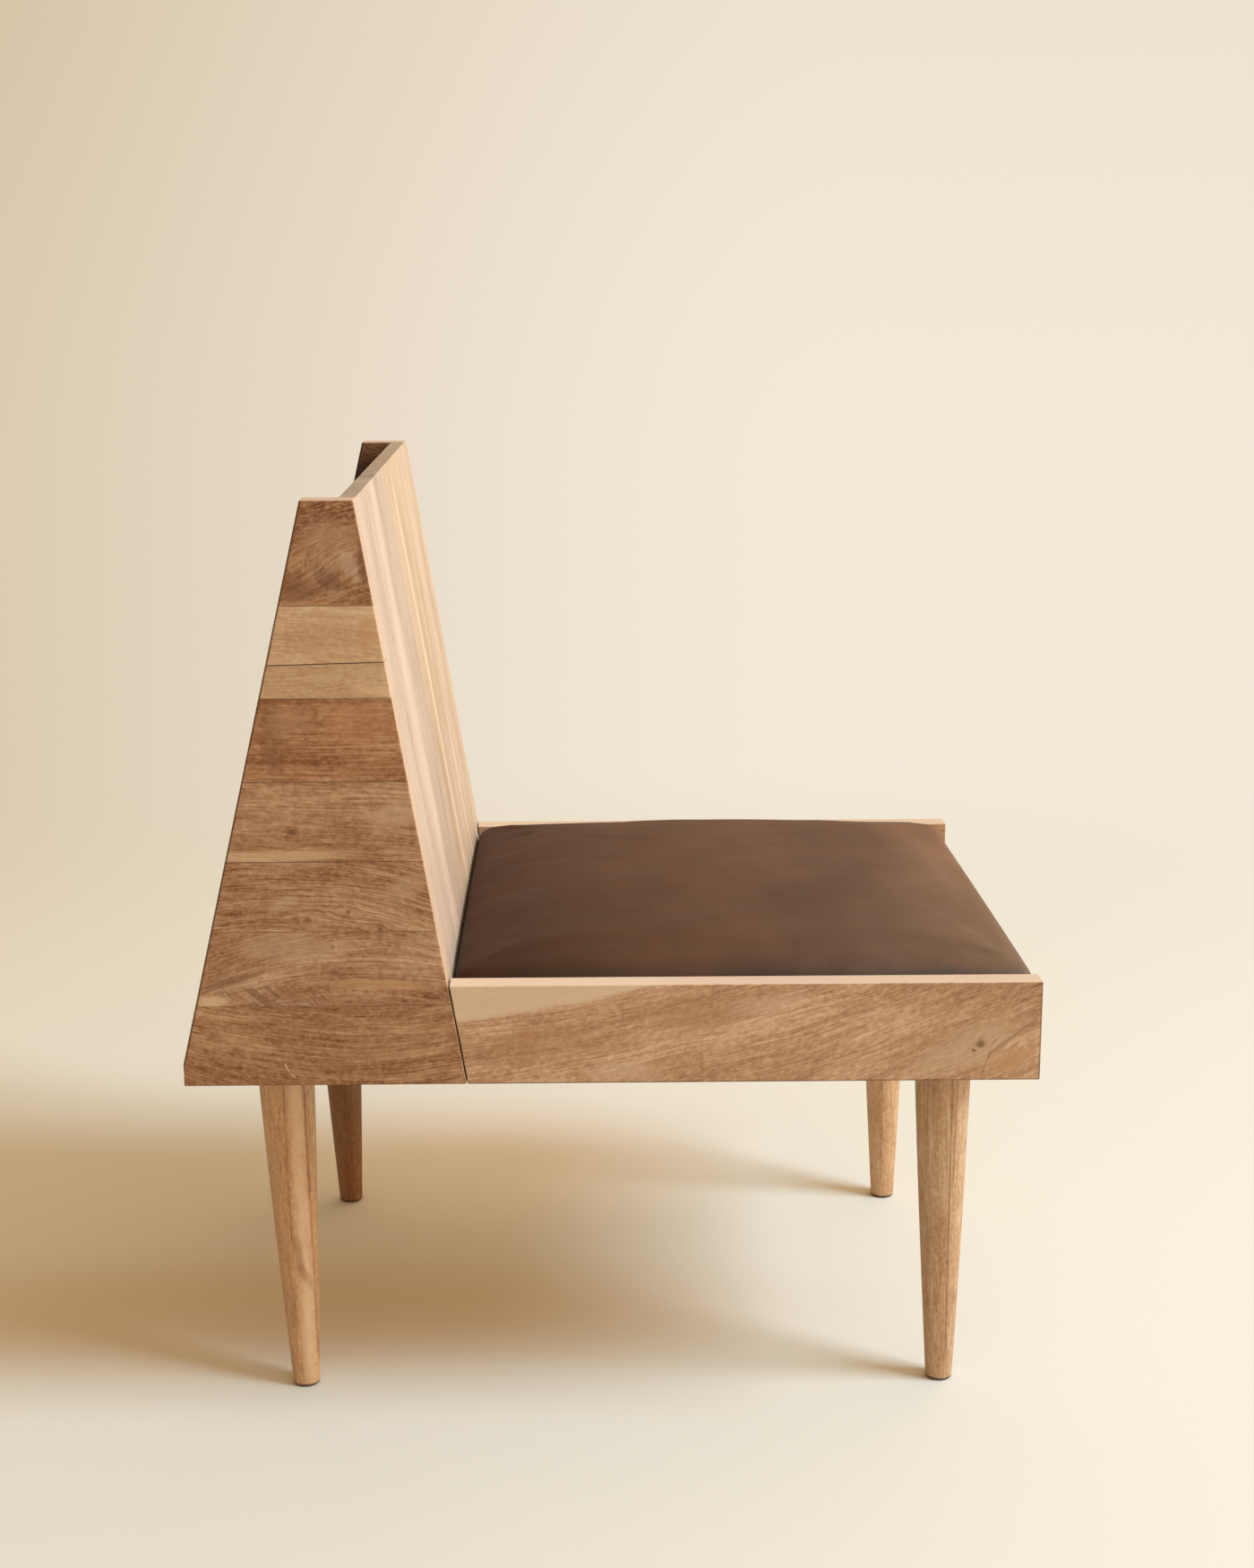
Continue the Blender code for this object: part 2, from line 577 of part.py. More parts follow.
def pad_cage(inset, bottom_z, lip):
    """Make the coarse cage of the seat pad, drawn in by an inset.

    A lip turns the cage in under the seat board; without one the cage is closed flat below.
    """
    half_x, half_y, middle_y = pad_plan(inset)
    rim_z = PAD_SEAT_Z + PAD_RIM_HEIGHT - inset
    work = bmesh.new()
    bmesh.ops.create_grid(work, x_segments=PAD_CELLS, y_segments=PAD_CELLS, size=1.0)
    for vert in work.verts:
        u, v = crowded(vert.co.x), crowded(vert.co.y)
        crown = ((1 - u * u) * (1 - v * v)) ** PAD_CROWN_FULLNESS
        vert.co = (u * (half_x - PAD_SHOULDER), middle_y + v * (half_y - PAD_SHOULDER),
                   rim_z + PAD_CROWN * crown)
    # Rings below the rim, each with how far it lies inside the pad's outline. The waist stands out by
    # what the smoothing takes back, so that it ends up on the outline.
    waist = -(PAD_SHOULDER + PAD_TUCK) / 6
    rings = [(waist, PAD_SEAT_Z + PAD_WAIST_HEIGHT), (PAD_TUCK, bottom_z)]
    if lip:
        rings.append((PAD_TUCK + lip, bottom_z))
    for tuck, z in rings:
        rim = [edge for edge in work.edges if edge.is_boundary]
        skirt = bmesh.ops.extrude_edge_only(work, edges=rim)["geom"]
        ring = [item for item in skirt if isinstance(item, bmesh.types.BMVert)]
        reach_x = max(vert.co.x for vert in ring)
        reach_y = max(vert.co.y for vert in ring) - middle_y
        for vert in ring:
            vert.co = (vert.co.x * (half_x - tuck) / reach_x,
                       middle_y + (vert.co.y - middle_y) * (half_y - tuck) / reach_y, z)
    if not lip:
        bmesh.ops.holes_fill(work, edges=[edge for edge in work.edges if edge.is_boundary])
    # The rear leans along the raked back, more the higher it is.
    for vert in work.verts:
        share = min(1, max(0, (vert.co.y - middle_y + half_y) / (2 * half_y)))
        vert.co.y += BACK_SLOPE * (vert.co.z - PAD_SEAT_Z) * share ** PAD_LEAN_POWER
    bmesh.ops.recalc_face_normals(work, faces=work.faces)
    mesh = bpy.data.meshes.new("pad")
    work.to_mesh(mesh)
    work.free()
    return mesh


def soften(part):
    """Smooth a coarse cage with a subdivision surface."""
    smooth = part.modifiers.new("soften", "SUBSURF")
    smooth.levels = 1
    smooth.render_levels = 1
    return part


def make_seat_pad():
    """Make the plywood seat board, the foam on it and the cover drawn over both and turned under."""
    lip_z = PAD_SEAT_Z + FIT
    cover = soften(add_part("seat_cover", pad_cage(0, lip_z, COVER_LIP), "leather"))
    skin = cover.modifiers.new("skin", "SOLIDIFY")
    skin.thickness = COVER_THICKNESS
    skin.offset = -1
    skin.use_even_offset = True

    board_z = lip_z + COVER_THICKNESS + FIT
    half_x, half_y, middle_y = pad_plan(SEAT_BOARD_INSET)
    board = plate(rounded_rectangle(half_x, half_y, SEAT_BOARD_CORNER), SEAT_BOARD_THICKNESS)
    ease_edges(board, SMALL_EASE)
    board.transform(Matrix.Translation((0, middle_y, board_z + SEAT_BOARD_THICKNESS / 2)))
    add_part("seat_board", board, "plywood")

    foam_z = board_z + SEAT_BOARD_THICKNESS + FIT
    soften(add_part("seat_foam", pad_cage(COVER_THICKNESS + LOOSE_FIT, foam_z, 0), "foam"))


def add_boolean(part, operation, mesh, name):
    """Join a mesh to a part, or cut it away, with a Boolean whose other object is only a guide."""
    guide = bpy.data.objects.new(name, mesh)
    guide.hide_render = True
    guide.display_type = "WIRE"
    guides.objects.link(guide)
    boolean = part.modifiers.new(operation.lower(), "BOOLEAN")
    boolean.operation = operation
    boolean.solver = "EXACT"
    boolean.object = guide


def cut_bores():
    """Cut the collected bores and mortises from their pieces."""
    for name, work in cutters.items():
        mesh = bpy.data.meshes.new(name)
        work.to_mesh(mesh)
        work.free()
        add_boolean(chair.objects[name], "DIFFERENCE", mesh, f"{name}_bores")


for leftover in list(bpy.data.objects):
    bpy.data.objects.remove(leftover)
chair = new_collection("lounge_chair")
guides = new_collection("lounge_chair_cutters")
materials = {finish: make_material(finish) for finish in FINISHES}
stand = bpy.data.objects.new("lounge_chair_origin", None)
chair.objects.link(stand)
make_sides()
make_back()
make_seat_box()
make_legs()
make_seat_pad()
cut_bores()
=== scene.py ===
"""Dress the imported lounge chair: its woods, seat cover and fasteners, and the studio it stands in.

The frame holds every piece at its real size in metres. +Z is up, the seat faces -Y and the sitter's
right hand lies towards -X, which is the side that the camera sees.
"""

import logging
import math
from dataclasses import dataclass, field, replace
from enum import Enum

import bmesh
import bpy
from mathutils import Matrix, Vector, noise
from mathutils.bvhtree import BVHTree


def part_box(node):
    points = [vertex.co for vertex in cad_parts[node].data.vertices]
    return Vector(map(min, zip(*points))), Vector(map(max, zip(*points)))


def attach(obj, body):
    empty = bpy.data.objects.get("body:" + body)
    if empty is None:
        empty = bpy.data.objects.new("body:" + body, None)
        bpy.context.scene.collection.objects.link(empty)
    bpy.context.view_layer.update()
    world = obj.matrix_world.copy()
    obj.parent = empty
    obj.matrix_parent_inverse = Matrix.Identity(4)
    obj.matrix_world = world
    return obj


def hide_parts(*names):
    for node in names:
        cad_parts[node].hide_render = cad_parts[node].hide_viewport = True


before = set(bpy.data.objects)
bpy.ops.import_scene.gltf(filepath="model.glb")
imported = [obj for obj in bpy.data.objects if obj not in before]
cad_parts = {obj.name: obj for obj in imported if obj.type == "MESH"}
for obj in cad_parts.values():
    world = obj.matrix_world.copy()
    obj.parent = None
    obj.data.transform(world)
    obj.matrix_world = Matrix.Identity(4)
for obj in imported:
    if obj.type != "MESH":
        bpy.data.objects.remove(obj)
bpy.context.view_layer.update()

LOG = logging.getLogger("lounge_chair")
BODY = "root"
PHOTO_WIDTH, PHOTO_HEIGHT = 1400, 1750
SENSOR = 36.0
BACK_ANGLE = math.atan2(0.078, 0.466)
HANDS = {"right": -1, "left": 1}

Colour = tuple[float, float, float]
Place = tuple[float, float, float]
Socket = bpy.types.NodeSocket


class Graph:
    """A shader or geometry tree, with short calls that add a node and give its main output."""

    def __init__(self, tree: bpy.types.NodeTree) -> None:
        """Keep the tree that nodes are added to."""
        self.tree = tree

    def add(self, kind: str, inputs: dict | None = None, **settings) -> bpy.types.Node:
        """Add a node.

        Args:
            kind: The node's Blender type.
            inputs: A value or a socket for each input, by its name or number.
            settings: The node's own properties.

        Returns:
            The new node.
        """
        node = self.tree.nodes.new(kind)
        for name, value in settings.items():
            setattr(node, name, value)
        for key, value in (inputs or {}).items():
            if isinstance(value, Socket):
                self.tree.links.new(value, node.inputs[key])
            else:
                node.inputs[key].default_value = value
        return node

    def math(self, operation: str, *values) -> Socket:
        """Add a Math node on one to three values and return its result."""
        return self.add("ShaderNodeMath", dict(enumerate(values)), operation=operation).outputs[0]

    def vector(self, operation: str, *values) -> Socket:
        """Add a Vector Math node and return its vector, or its value for a length or a product."""
        node = self.add("ShaderNodeVectorMath", dict(enumerate(values)), operation=operation)
        measures = {"LENGTH", "DISTANCE", "DOT_PRODUCT"}
        return node.outputs["Value" if operation in measures else "Vector"]

    def stretched(self, place: Socket, stretch: Place) -> Socket:
        """Multiply a place by one factor for each axis."""
        return self.vector("MULTIPLY", place, stretch)

    def noise(self, place: Socket, stretch: Place, detail: float, rough: float = 0.5) -> bpy.types.Node:
        """Add 3D noise on a stretched place and return its node."""
        return self.add("ShaderNodeTexNoise", {"Vector": self.stretched(place, stretch), "Scale": 1.0,
                                               "Detail": detail, "Roughness": rough})

    def layers(self, depth: Socket, width: float, detail: float, rough: float) -> Socket:
        """Return 1D noise along a depth, in layers about as wide as a width."""
        return self.add("ShaderNodeTexNoise", {"W": depth, "Scale": 1.0 / width, "Detail": detail,
                                               "Roughness": rough}, noise_dimensions="1D").outputs[0]

    def smooth(self, value: Socket, low: float, high: float) -> Socket:
        """Return a smooth step from 0 at low to 1 at high."""
        node = self.add("ShaderNodeMapRange", {"Value": value, "From Min": low, "From Max": high},
                        interpolation_type="SMOOTHSTEP")
        return node.outputs["Result"]

    def spread(self, value: Socket, low: float, high: float, reach: float = 1.0) -> Socket:
        """Return a value moved from low..high to 0..reach, without clamping."""
        return self.add("ShaderNodeMapRange", {"Value": value, "From Min": low, "From Max": high,
                                               "To Max": reach}, clamp=False).outputs["Result"]

    def mix(self, share: Socket | float, first, second, blend: str = "MIX") -> Socket:
        """Mix two colours and return the result."""
        inputs = {0: share}
        for key, colour in ((6, first), (7, second)):
            inputs[key] = colour if isinstance(colour, Socket) else (*colour, 1.0)
        return self.add("ShaderNodeMix", inputs, data_type="RGBA", blend_type=blend).outputs[2]

    def ramp(self, value: Socket, tones: tuple[Colour, ...]) -> Socket:
        """Return colours spaced evenly along a value."""
        node = self.add("ShaderNodeValToRGB", {0: value})
        stops = node.color_ramp.elements
        while len(stops) < len(tones):
            stops.new(0.5)
        for number, tone in enumerate(tones):
            stops[number].position = number / (len(tones) - 1)
            stops[number].color = (*tone, 1.0)
        return node.outputs[0]


def new_material(name: str) -> tuple[bpy.types.Material, Graph, bpy.types.Node]:
    """Make a node material.

    Args:
        name: The finish's name.

    Returns:
        The material, its graph and its Principled shader.
    """
    material = bpy.data.materials.new(name)
    material.use_nodes = True
    graph = Graph(material.node_tree)
    return material, graph, material.node_tree.nodes["Principled BSDF"]


class Grain(Enum):
    """Which way a piece's grain runs: its directions along the grain, through and across the face."""

    SIDE = ((0, 1, 0), (-1, 0, 0), (0, 0, 1))
    BACK = ((0, math.sin(BACK_ANGLE), math.cos(BACK_ANGLE)),
            (0, -math.cos(BACK_ANGLE), math.sin(BACK_ANGLE)), (1, 0, 0))
    CROSS = ((1, 0, 0), (0, 1, 0), (0, 0, 1))
    LEG = ((0, 0, 1), (1, 0, 0), (0, 1, 0))

    def space(self, graph: Graph) -> Socket:
        """Return object coordinates as lengths along the grain, through the board and across its face."""
        place = graph.add("ShaderNodeTexCoord").outputs["Object"]
        parts = [graph.vector("DOT_PRODUCT", place, row) for row in self.value]
        return graph.add("ShaderNodeCombineXYZ", dict(enumerate(parts))).outputs[0]


@dataclass(frozen=True)
class Flow:
    """A wood's grain at each point: the plain and the bent place, the growth line, and a place along the lines."""

    face: Socket
    place: Socket
    level: Socket
    lines: Socket


@dataclass(frozen=True)
class Mark:
    """A mark on a wood's face, centred at a length along the grain and a height across it."""

    along: float
    across: float

    def offset(self, graph: Graph, place: Socket) -> Socket:
        """Return the way from the mark's centre to a place."""
        return graph.vector("SUBTRACT", place, (self.along, 0, self.across))

    def bend(self, graph: Graph, place: Socket) -> Socket:
        """Leave the grain as it runs."""
        return place

    def paint(self, graph: Graph, flow: Flow, colour: Socket) -> Socket:
        """Leave the colour as it is."""
        return colour


@dataclass(frozen=True)
class Knot(Mark):
    """A knot, with grain that flows round it and a dark heart."""

    radius: float
    tone: Colour = (0.10, 0.045, 0.020)
    strength: float = 0.8
    bulge: float = 0.8
    reach: float = 4.5

    def distance(self, graph: Graph, place: Socket, length: float) -> Socket:
        """Return the distance from the knot, with lengths along the grain counted short."""
        off = self.offset(graph, place)
        return graph.vector("LENGTH", graph.stretched(off, (1 / length, 0, 1)))

    def bend(self, graph: Graph, place: Socket) -> Socket:
        """Return a place whose grain flows round the knot."""
        near = graph.smooth(self.distance(graph, place, 2.2), self.radius * self.reach, 0)
        pull = graph.stretched(self.offset(graph, place), (0, 0, -self.bulge))
        pull = graph.add("ShaderNodeVectorMath", {0: pull, "Scale": near}, operation="SCALE").outputs[0]
        return graph.vector("ADD", place, pull)

    def paint(self, graph: Graph, flow: Flow, colour: Socket) -> Socket:
        """Return the colour with the knot's dark heart in it."""
        ragged = graph.noise(flow.face, (300, 300, 480), 2).outputs[0]
        far = graph.math("MULTIPLY_ADD", ragged, self.radius * 1.2, self.distance(graph, flow.face, 1.15))
        heart = graph.smooth(far, self.radius * 1.9, self.radius * 0.8)
        return graph.mix(graph.math("MULTIPLY", heart, self.strength), colour, self.tone)


@dataclass(frozen=True)
class Flare(Mark):
    """A soft patch of another tone: half sizes along and across, and a lean."""

    length: float
    width: float
    tone: Colour
    lean: float = 0.0
    strength: float = 0.7
    soft: float = 0.45
    feather: float = 0.0

    def paint(self, graph: Graph, flow: Flow, colour: Socket) -> Socket:
        """Return the colour with the patch in it, broken up along the grain."""
        off = self.offset(graph, flow.place)
        turned = graph.add("ShaderNodeVectorRotate", {"Vector": off, "Angle": self.lean},
                           rotation_type="Y_AXIS").outputs[0]
        far = graph.vector("LENGTH", graph.stretched(turned, (1 / self.length, 0, 1 / self.width)))
        ragged = graph.noise(flow.lines, (24, 420, 300), 3, 0.6).outputs[0]
        edge = graph.math("MULTIPLY_ADD", ragged, 1.3, far)
        mask = graph.smooth(edge, 1.65 + self.soft, 1.65 - self.soft)
        if self.feather:
            swept = graph.add("ShaderNodeVectorRotate", {"Vector": off, "Angle": self.feather},
                              rotation_type="Y_AXIS").outputs[0]
            strokes = graph.noise(swept, (70, 60, 420), 2).outputs[0]
            mask = graph.math("MULTIPLY", mask, graph.smooth(strokes, 0.34, 0.66))
        return graph.mix(graph.math("MULTIPLY", mask, self.strength), colour, self.tone)


@dataclass(frozen=True)
class Score(Mark):
    """A thin line, such as a crack, a scratch or a dark vein, from the mark's place to its end."""

    to_along: float
    to_across: float
    width: float
    tone: Colour
    strength: float = 0.8
    soft: float = 0.6

    def paint(self, graph: Graph, flow: Flow, colour: Socket) -> Socket:
        """Return the colour with the line in it."""
        way = Vector((self.to_along - self.along, 0, self.to_across - self.across))
        length = way.length
        way.normalize()
        off = self.offset(graph, flow.face)
        run = graph.vector("DOT_PRODUCT", off, tuple(way))
        aside = graph.math("ABSOLUTE", graph.vector("DOT_PRODUCT", off, (-way.z, 0, way.x)))
        ragged = graph.noise(flow.face, (90, 90, 90), 2).outputs[0]
        aside = graph.math("MULTIPLY_ADD", ragged, self.width, aside)
        line = graph.smooth(aside, self.width * (1.5 + self.soft * 0.5), self.width * (1.5 - self.soft))
        ends = graph.math("MULTIPLY", graph.smooth(run, -0.02 * length, 0.08 * length),
                          graph.smooth(run, 1.02 * length, 0.92 * length))
        share = graph.math("MULTIPLY", graph.math("MULTIPLY", line, ends), self.strength)
        return graph.mix(share, colour, self.tone)


RAKED_SEAM = Score(0.1137, 0.280, 0.1309, 0.3805, 0.0009, (0.070, 0.034, 0.017), strength=0.85)


@dataclass(frozen=True)
class Sapwood(Mark):
    """Pale wood beyond one growth line, which is counted from the face's zero."""

    level: float
    tone: Colour
    strength: float = 0.9
    soft: float = 0.003

    def paint(self, graph: Graph, flow: Flow, colour: Socket) -> Socket:
        """Return the colour with the wood beyond the line made pale."""
        ragged = graph.noise(flow.lines, (30, 300, 200), 2).outputs[0]
        depth = graph.math("MULTIPLY_ADD", ragged, 2 * self.soft, flow.level)
        mask = graph.smooth(depth, self.level, self.level + 2 * self.soft)
        return graph.mix(graph.math("MULTIPLY", mask, self.strength), colour, self.tone)


@dataclass(frozen=True)
class Wood:
    """One board's wood: its mean colour, the way its grain runs and the marks on it.

    The grain's lines rise across the face by a slope, and bow about one place along it. Lengths are in
    metres. Each kind of figure has a share, from soft clouds to fine lines.
    """

    name: str
    mean: Colour
    grain: Grain
    seed: float
    slope: float = 0.0
    bow: float = 0.0
    bow_at: float = 0.0
    wander: float = 0.010
    clouds: float = 0.9
    bands: float = 0.6
    streaks: float = 0.8
    lines: float = 0.8
    specks: float = 0.7
    curl: float = 0.0
    fineness: float = 1.0
    pores: float = 0.24
    flecks: float = 0.45
    fleck: Colour = (1.36, 1.66, 2.05)
    dark: Colour = (0.46, 0.28, 0.16)
    light: Colour = (1.60, 2.04, 2.55)
    end: Colour = (0.74, 0.70, 0.66)
    # The edge colour and its share below paint highlight on the edge faces that turn towards the lamp; the inner
    # setting paints shade on the faces that turn into the recess behind the back.
    edge: Colour = (0.600, 0.475, 0.375)
    painted_edge_highlight: float = 0.0
    inner: float = 0.0
    edge_wear_and_highlight: float = 0.04
    rough: float = 0.50
    marks: tuple[Mark, ...] = ()
    seams_and_painted_shade: tuple[Mark, ...] = ()

    def material(self) -> bpy.types.Material:
        """Build the wood's material: figure, marks, pores, end grain, edges lightened by wear and painted highlight,
        and painted light and shade on some faces.
        """
        material, graph, shader = new_material(self.name)
        flow = self.flow(graph)
        colour = graph.ramp(self.tone(graph, flow), (self.tinted(self.dark), self.mean,
                                                     self.tinted(self.light)))
        pore = self.dashes(graph, flow, 5.3, (110, 1000, 700), 0.590)
        fleck = self.dashes(graph, flow, 8.9, (240, 600, 520), 0.560)
        colour = graph.mix(graph.math("MULTIPLY", pore, self.pores), colour,
                           tuple(0.30 * part for part in self.mean))
        colour = graph.mix(graph.math("MULTIPLY", fleck, self.flecks), colour, self.tinted(self.fleck))
        for mark in self.marks:
            colour = mark.paint(graph, flow, colour)
        colour = self.cut_ends(graph, colour)
        colour = self.wear_and_highlight_edges(graph, colour)
        # Late lines: dark seams, and painted shade such as the ring round the legs' feet.
        for mark in self.seams_and_painted_shade:
            colour = mark.paint(graph, flow, colour)
        graph.tree.links.new(colour, shader.inputs["Base Color"])

        fibre = graph.noise(flow.lines, (60, 1600, 1000), 2).outputs[0]
        shader.inputs["Specular IOR Level"].default_value = 0.30
        rough = graph.math("MULTIPLY_ADD", pore, 0.20, graph.spread(fibre, 0.5, 1.5, 0.35))
        graph.tree.links.new(graph.math("ADD", rough, self.rough), shader.inputs["Roughness"])
        height = graph.math("MULTIPLY_ADD", pore, -1.0, fibre)
        bump = graph.add("ShaderNodeBump", {"Strength": 0.30, "Distance": 0.0003, "Height": height})
        graph.tree.links.new(bump.outputs[0], shader.inputs["Normal"])
        return material

    def tinted(self, factors: Colour) -> Colour:
        """Return the mean colour times a factor for each part, kept below white."""
        return tuple(min(0.92, part * factor) for part, factor in zip(self.mean, factors))

    def flow(self, graph: Graph) -> Flow:
        """Return how the grain runs: round the knots, along the slope and the bow, and wandering."""
        face = place = self.grain.space(graph)
        for mark in self.marks:
            place = mark.bend(graph, place)
        along, through, across = graph.add("ShaderNodeSeparateXYZ", {0: place}).outputs
        level = graph.math("MULTIPLY_ADD", along, -self.slope, across)
        away = graph.math("SUBTRACT", along, self.bow_at)
        level = graph.math("MULTIPLY_ADD", graph.math("MULTIPLY", away, away), -self.bow, level)
        shift = graph.vector("ADD", place, (self.seed, self.seed * 1.3, self.seed * 0.7))
        for stretch, reach in (((5, 14, 18), 2.0), ((17, 30, 44), 0.32)):
            sway = graph.noise(shift, stretch, 1).outputs[0]
            level = graph.math("MULTIPLY_ADD", graph.math("SUBTRACT", sway, 0.5), self.wander * reach, level)
        deep = graph.math("MULTIPLY_ADD", through, 0.35, level)
        lines = graph.add("ShaderNodeCombineXYZ", {0: along, 1: deep, 2: through}).outputs[0]
        return Flow(face, place, level, lines)

    def tone(self, graph: Graph, flow: Flow) -> Socket:
        """Return the figure's tone, from 0 where it is dark to 1 where it is light."""
        fine = self.fineness
        kinds = ((self.clouds, (8, 22, 22), 2), (self.bands, (4, 140 * fine, 70 * fine), 2),
                 (self.streaks, (16, 560 * fine, 360 * fine), 2), (self.lines, (50, 1000, 700), 1),
                 (self.specks, (230, 300, 300), 1), (self.curl, (60, 14, 14), 2))
        tone = 0.5 * (1 - sum(share for share, _, _ in kinds))
        for number, (share, stretch, detail) in enumerate(kinds):
            if share:
                moved = graph.vector("ADD", flow.lines, (self.seed + number, self.seed * 0.6, number))
                tone = graph.math("MULTIPLY_ADD", graph.noise(moved, stretch, detail).outputs[0], share, tone)
        return tone

    def dashes(self, graph: Graph, flow: Flow, shift: float, stretch: Place, rare: float) -> Socket:
        """Return a mask of short dashes along the grain, where noise passes a limit."""
        moved = graph.vector("ADD", flow.lines, (self.seed + shift, shift, self.seed))
        return graph.smooth(graph.noise(moved, stretch, 1).outputs[0], rare, rare + 0.09)

    def cut_ends(self, graph: Graph, colour: Socket) -> Socket:
        """Change the tone where the grain is cut across, paint highlight on the edge faces that turn towards the lamp,
        and paint shade on the faces that turn into the recess behind the back, darker towards the bottom.
        """
        normal = graph.add("ShaderNodeTexCoord").outputs["Normal"]
        facing = graph.math("ABSOLUTE", graph.vector("DOT_PRODUCT", normal, self.grain.value[0]))
        colour = graph.mix(graph.smooth(facing, 0.6, 0.9), colour,
                           graph.mix(1.0, colour, self.end, "MULTIPLY"))
        # Painted highlight: edge faces that turn towards the lamp, in front and above, are made paler.
        if self.painted_edge_highlight:
            face = graph.math("ABSOLUTE", graph.vector("DOT_PRODUCT", normal, self.grain.value[1]))
            share = graph.math("MULTIPLY", graph.smooth(face, 0.75, 0.35), self.painted_edge_highlight)
            facing_lamp = graph.smooth(graph.vector("DOT_PRODUCT", normal, (0, -0.6, 0.8)), 0.1, 0.5)
            colour = graph.mix(graph.math("MULTIPLY", share, facing_lamp), colour, self.edge)
        # Painted shade: faces that turn into the recess behind the back are darkened, down to nearly black below the
        # top of the sides.
        if self.inner:
            facing_recess = graph.smooth(graph.vector("DOT_PRODUCT", normal, (self.inner, 0, 0)), 0.5, 0.9)
            place = graph.add("ShaderNodeTexCoord").outputs["Object"]
            height = graph.add("ShaderNodeSeparateXYZ", {0: place}).outputs["Z"]
            painted_recess_shade = graph.mix(graph.smooth(height, 0.715, 0.775), (0.06, 0.04, 0.02), (0.62, 0.56, 0.50))
            colour = graph.mix(facing_recess, colour, graph.mix(1.0, colour, painted_recess_shade, "MULTIPLY"))
        return colour

    def wear_and_highlight_edges(self, graph: Graph, colour: Socket) -> Socket:
        """Lighten the eased edges, where the face turns towards the thickness: part wear, part painted highlight."""
        normal = graph.add("ShaderNodeTexCoord").outputs["Normal"]
        lean = graph.vector("DOT_PRODUCT", normal, self.grain.value[1])
        square = graph.math("MULTIPLY", lean, lean)
        turn = graph.math("MULTIPLY", square, graph.math("SUBTRACT", 1.0, square))
        edge = graph.math("MULTIPLY", graph.smooth(turn, 0.06, 0.24), self.edge_wear_and_highlight)
        return graph.mix(edge, colour, (0.86, 0.66, 0.47))


@dataclass(frozen=True)
class Leather:
    """The seat cover's soft brown leather: brushed, nearly without gloss."""

    name: str = "seat_leather"
    tones: tuple[Colour, ...] = ((0.185, 0.078, 0.042), (0.235, 0.104, 0.056), (0.297, 0.134, 0.076))
    # The ramp below is painted light: the cover darker at the rear and lighter towards the front, where the lamp falls.
    fade: tuple[Colour, ...] = ((0.178, 0.108, 0.048), (0.338, 0.300, 0.252), (0.442, 0.432, 0.412),
                                (0.490, 0.535, 0.575), (0.810, 0.960, 1.000))
    # The near and far tints below are painted light, cooler on the near side and warmer on the far side against the
    # colours of the fill and the lamp; the tint after them cools the cover's sides against the warm fill.
    near: Colour = (0.83, 1.01, 1.17)
    far: Colour = (1.04, 0.97, 0.91)
    painted_side_light_tint: Colour = (0.86, 1.00, 1.22)

    def material(self) -> bpy.types.Material:
        """Build the leather: cloudy tone with painted light, lighter towards the front where the lamp falls and tinted
        across and on its sides, brushed scuffs, fine grain, soft sheen.
        """
        material, graph, shader = new_material(self.name)
        place = graph.add("ShaderNodeTexCoord").outputs["Object"]
        cloud = graph.noise(place, (7, 9, 9), 4, 0.55).outputs[0]
        scuff = graph.noise(place, (60, 16, 40), 4, 0.6).outputs[0]
        tone = graph.math("MULTIPLY_ADD", cloud, 0.75, graph.math("MULTIPLY", scuff, 0.25))
        colour = graph.ramp(graph.spread(tone, 0.34, 0.66), self.tones)
        parts = graph.add("ShaderNodeSeparateXYZ", {0: place}).outputs
        # Painted light: darker at the rear, lighter towards the front, where the lamp falls.
        fade = graph.ramp(graph.spread(parts["Y"], 0.12, -0.34), self.fade)
        # Painted light: a tint across the cover, cooler on the near side and warmer on the far side.
        across = graph.mix(graph.spread(parts["X"], -0.25, 0.25), self.near, self.far)
        colour = graph.mix(1.0, colour, graph.mix(1.0, fade, across, "MULTIPLY"), "MULTIPLY")
        # Painted light: the cover's slopes and sides, lit mostly by the warm fill, get a cooler tint.
        upward = graph.add("ShaderNodeSeparateXYZ",
                           {0: graph.add("ShaderNodeTexCoord").outputs["Normal"]}).outputs["Z"]
        colour = graph.mix(graph.smooth(upward, 0.95, 0.55), colour,
                           graph.mix(1.0, colour, self.painted_side_light_tint, "MULTIPLY"))
        cells = graph.add("ShaderNodeTexVoronoi", {"Vector": graph.stretched(place, (620, 620, 620)),
                                                   "Scale": 1.0}, feature="SMOOTH_F1")
        grain = graph.noise(place, (1500, 1500, 1500), 2).outputs[0]
        speck = graph.spread(grain, 0.5, 1.5, 0.5)
        shade = graph.math("ADD", speck, 1.0)
        colour = graph.mix(1.0, colour, graph.add("ShaderNodeCombineColor",
                                                   {0: shade, 1: shade, 2: shade}).outputs[0], "MULTIPLY")
        graph.tree.links.new(colour, shader.inputs["Base Color"])
        rough = graph.math("ADD", graph.spread(scuff, 0.3, 0.7, 0.16), 0.54)
        graph.tree.links.new(rough, shader.inputs["Roughness"])
        shader.inputs["Specular IOR Level"].default_value = 0.16
        shader.inputs["Sheen Weight"].default_value = 0.03
        shader.inputs["Sheen Roughness"].default_value = 0.55
        shader.inputs["Sheen Tint"].default_value = (0.55, 0.40, 0.30, 1.0)
        height = graph.math("MULTIPLY_ADD", grain, 0.5, cells.outputs["Distance"])
        bump = graph.add("ShaderNodeBump", {"Strength": 0.22, "Distance": 0.0004, "Height": height})
        graph.tree.links.new(bump.outputs[0], shader.inputs["Normal"])
        return material


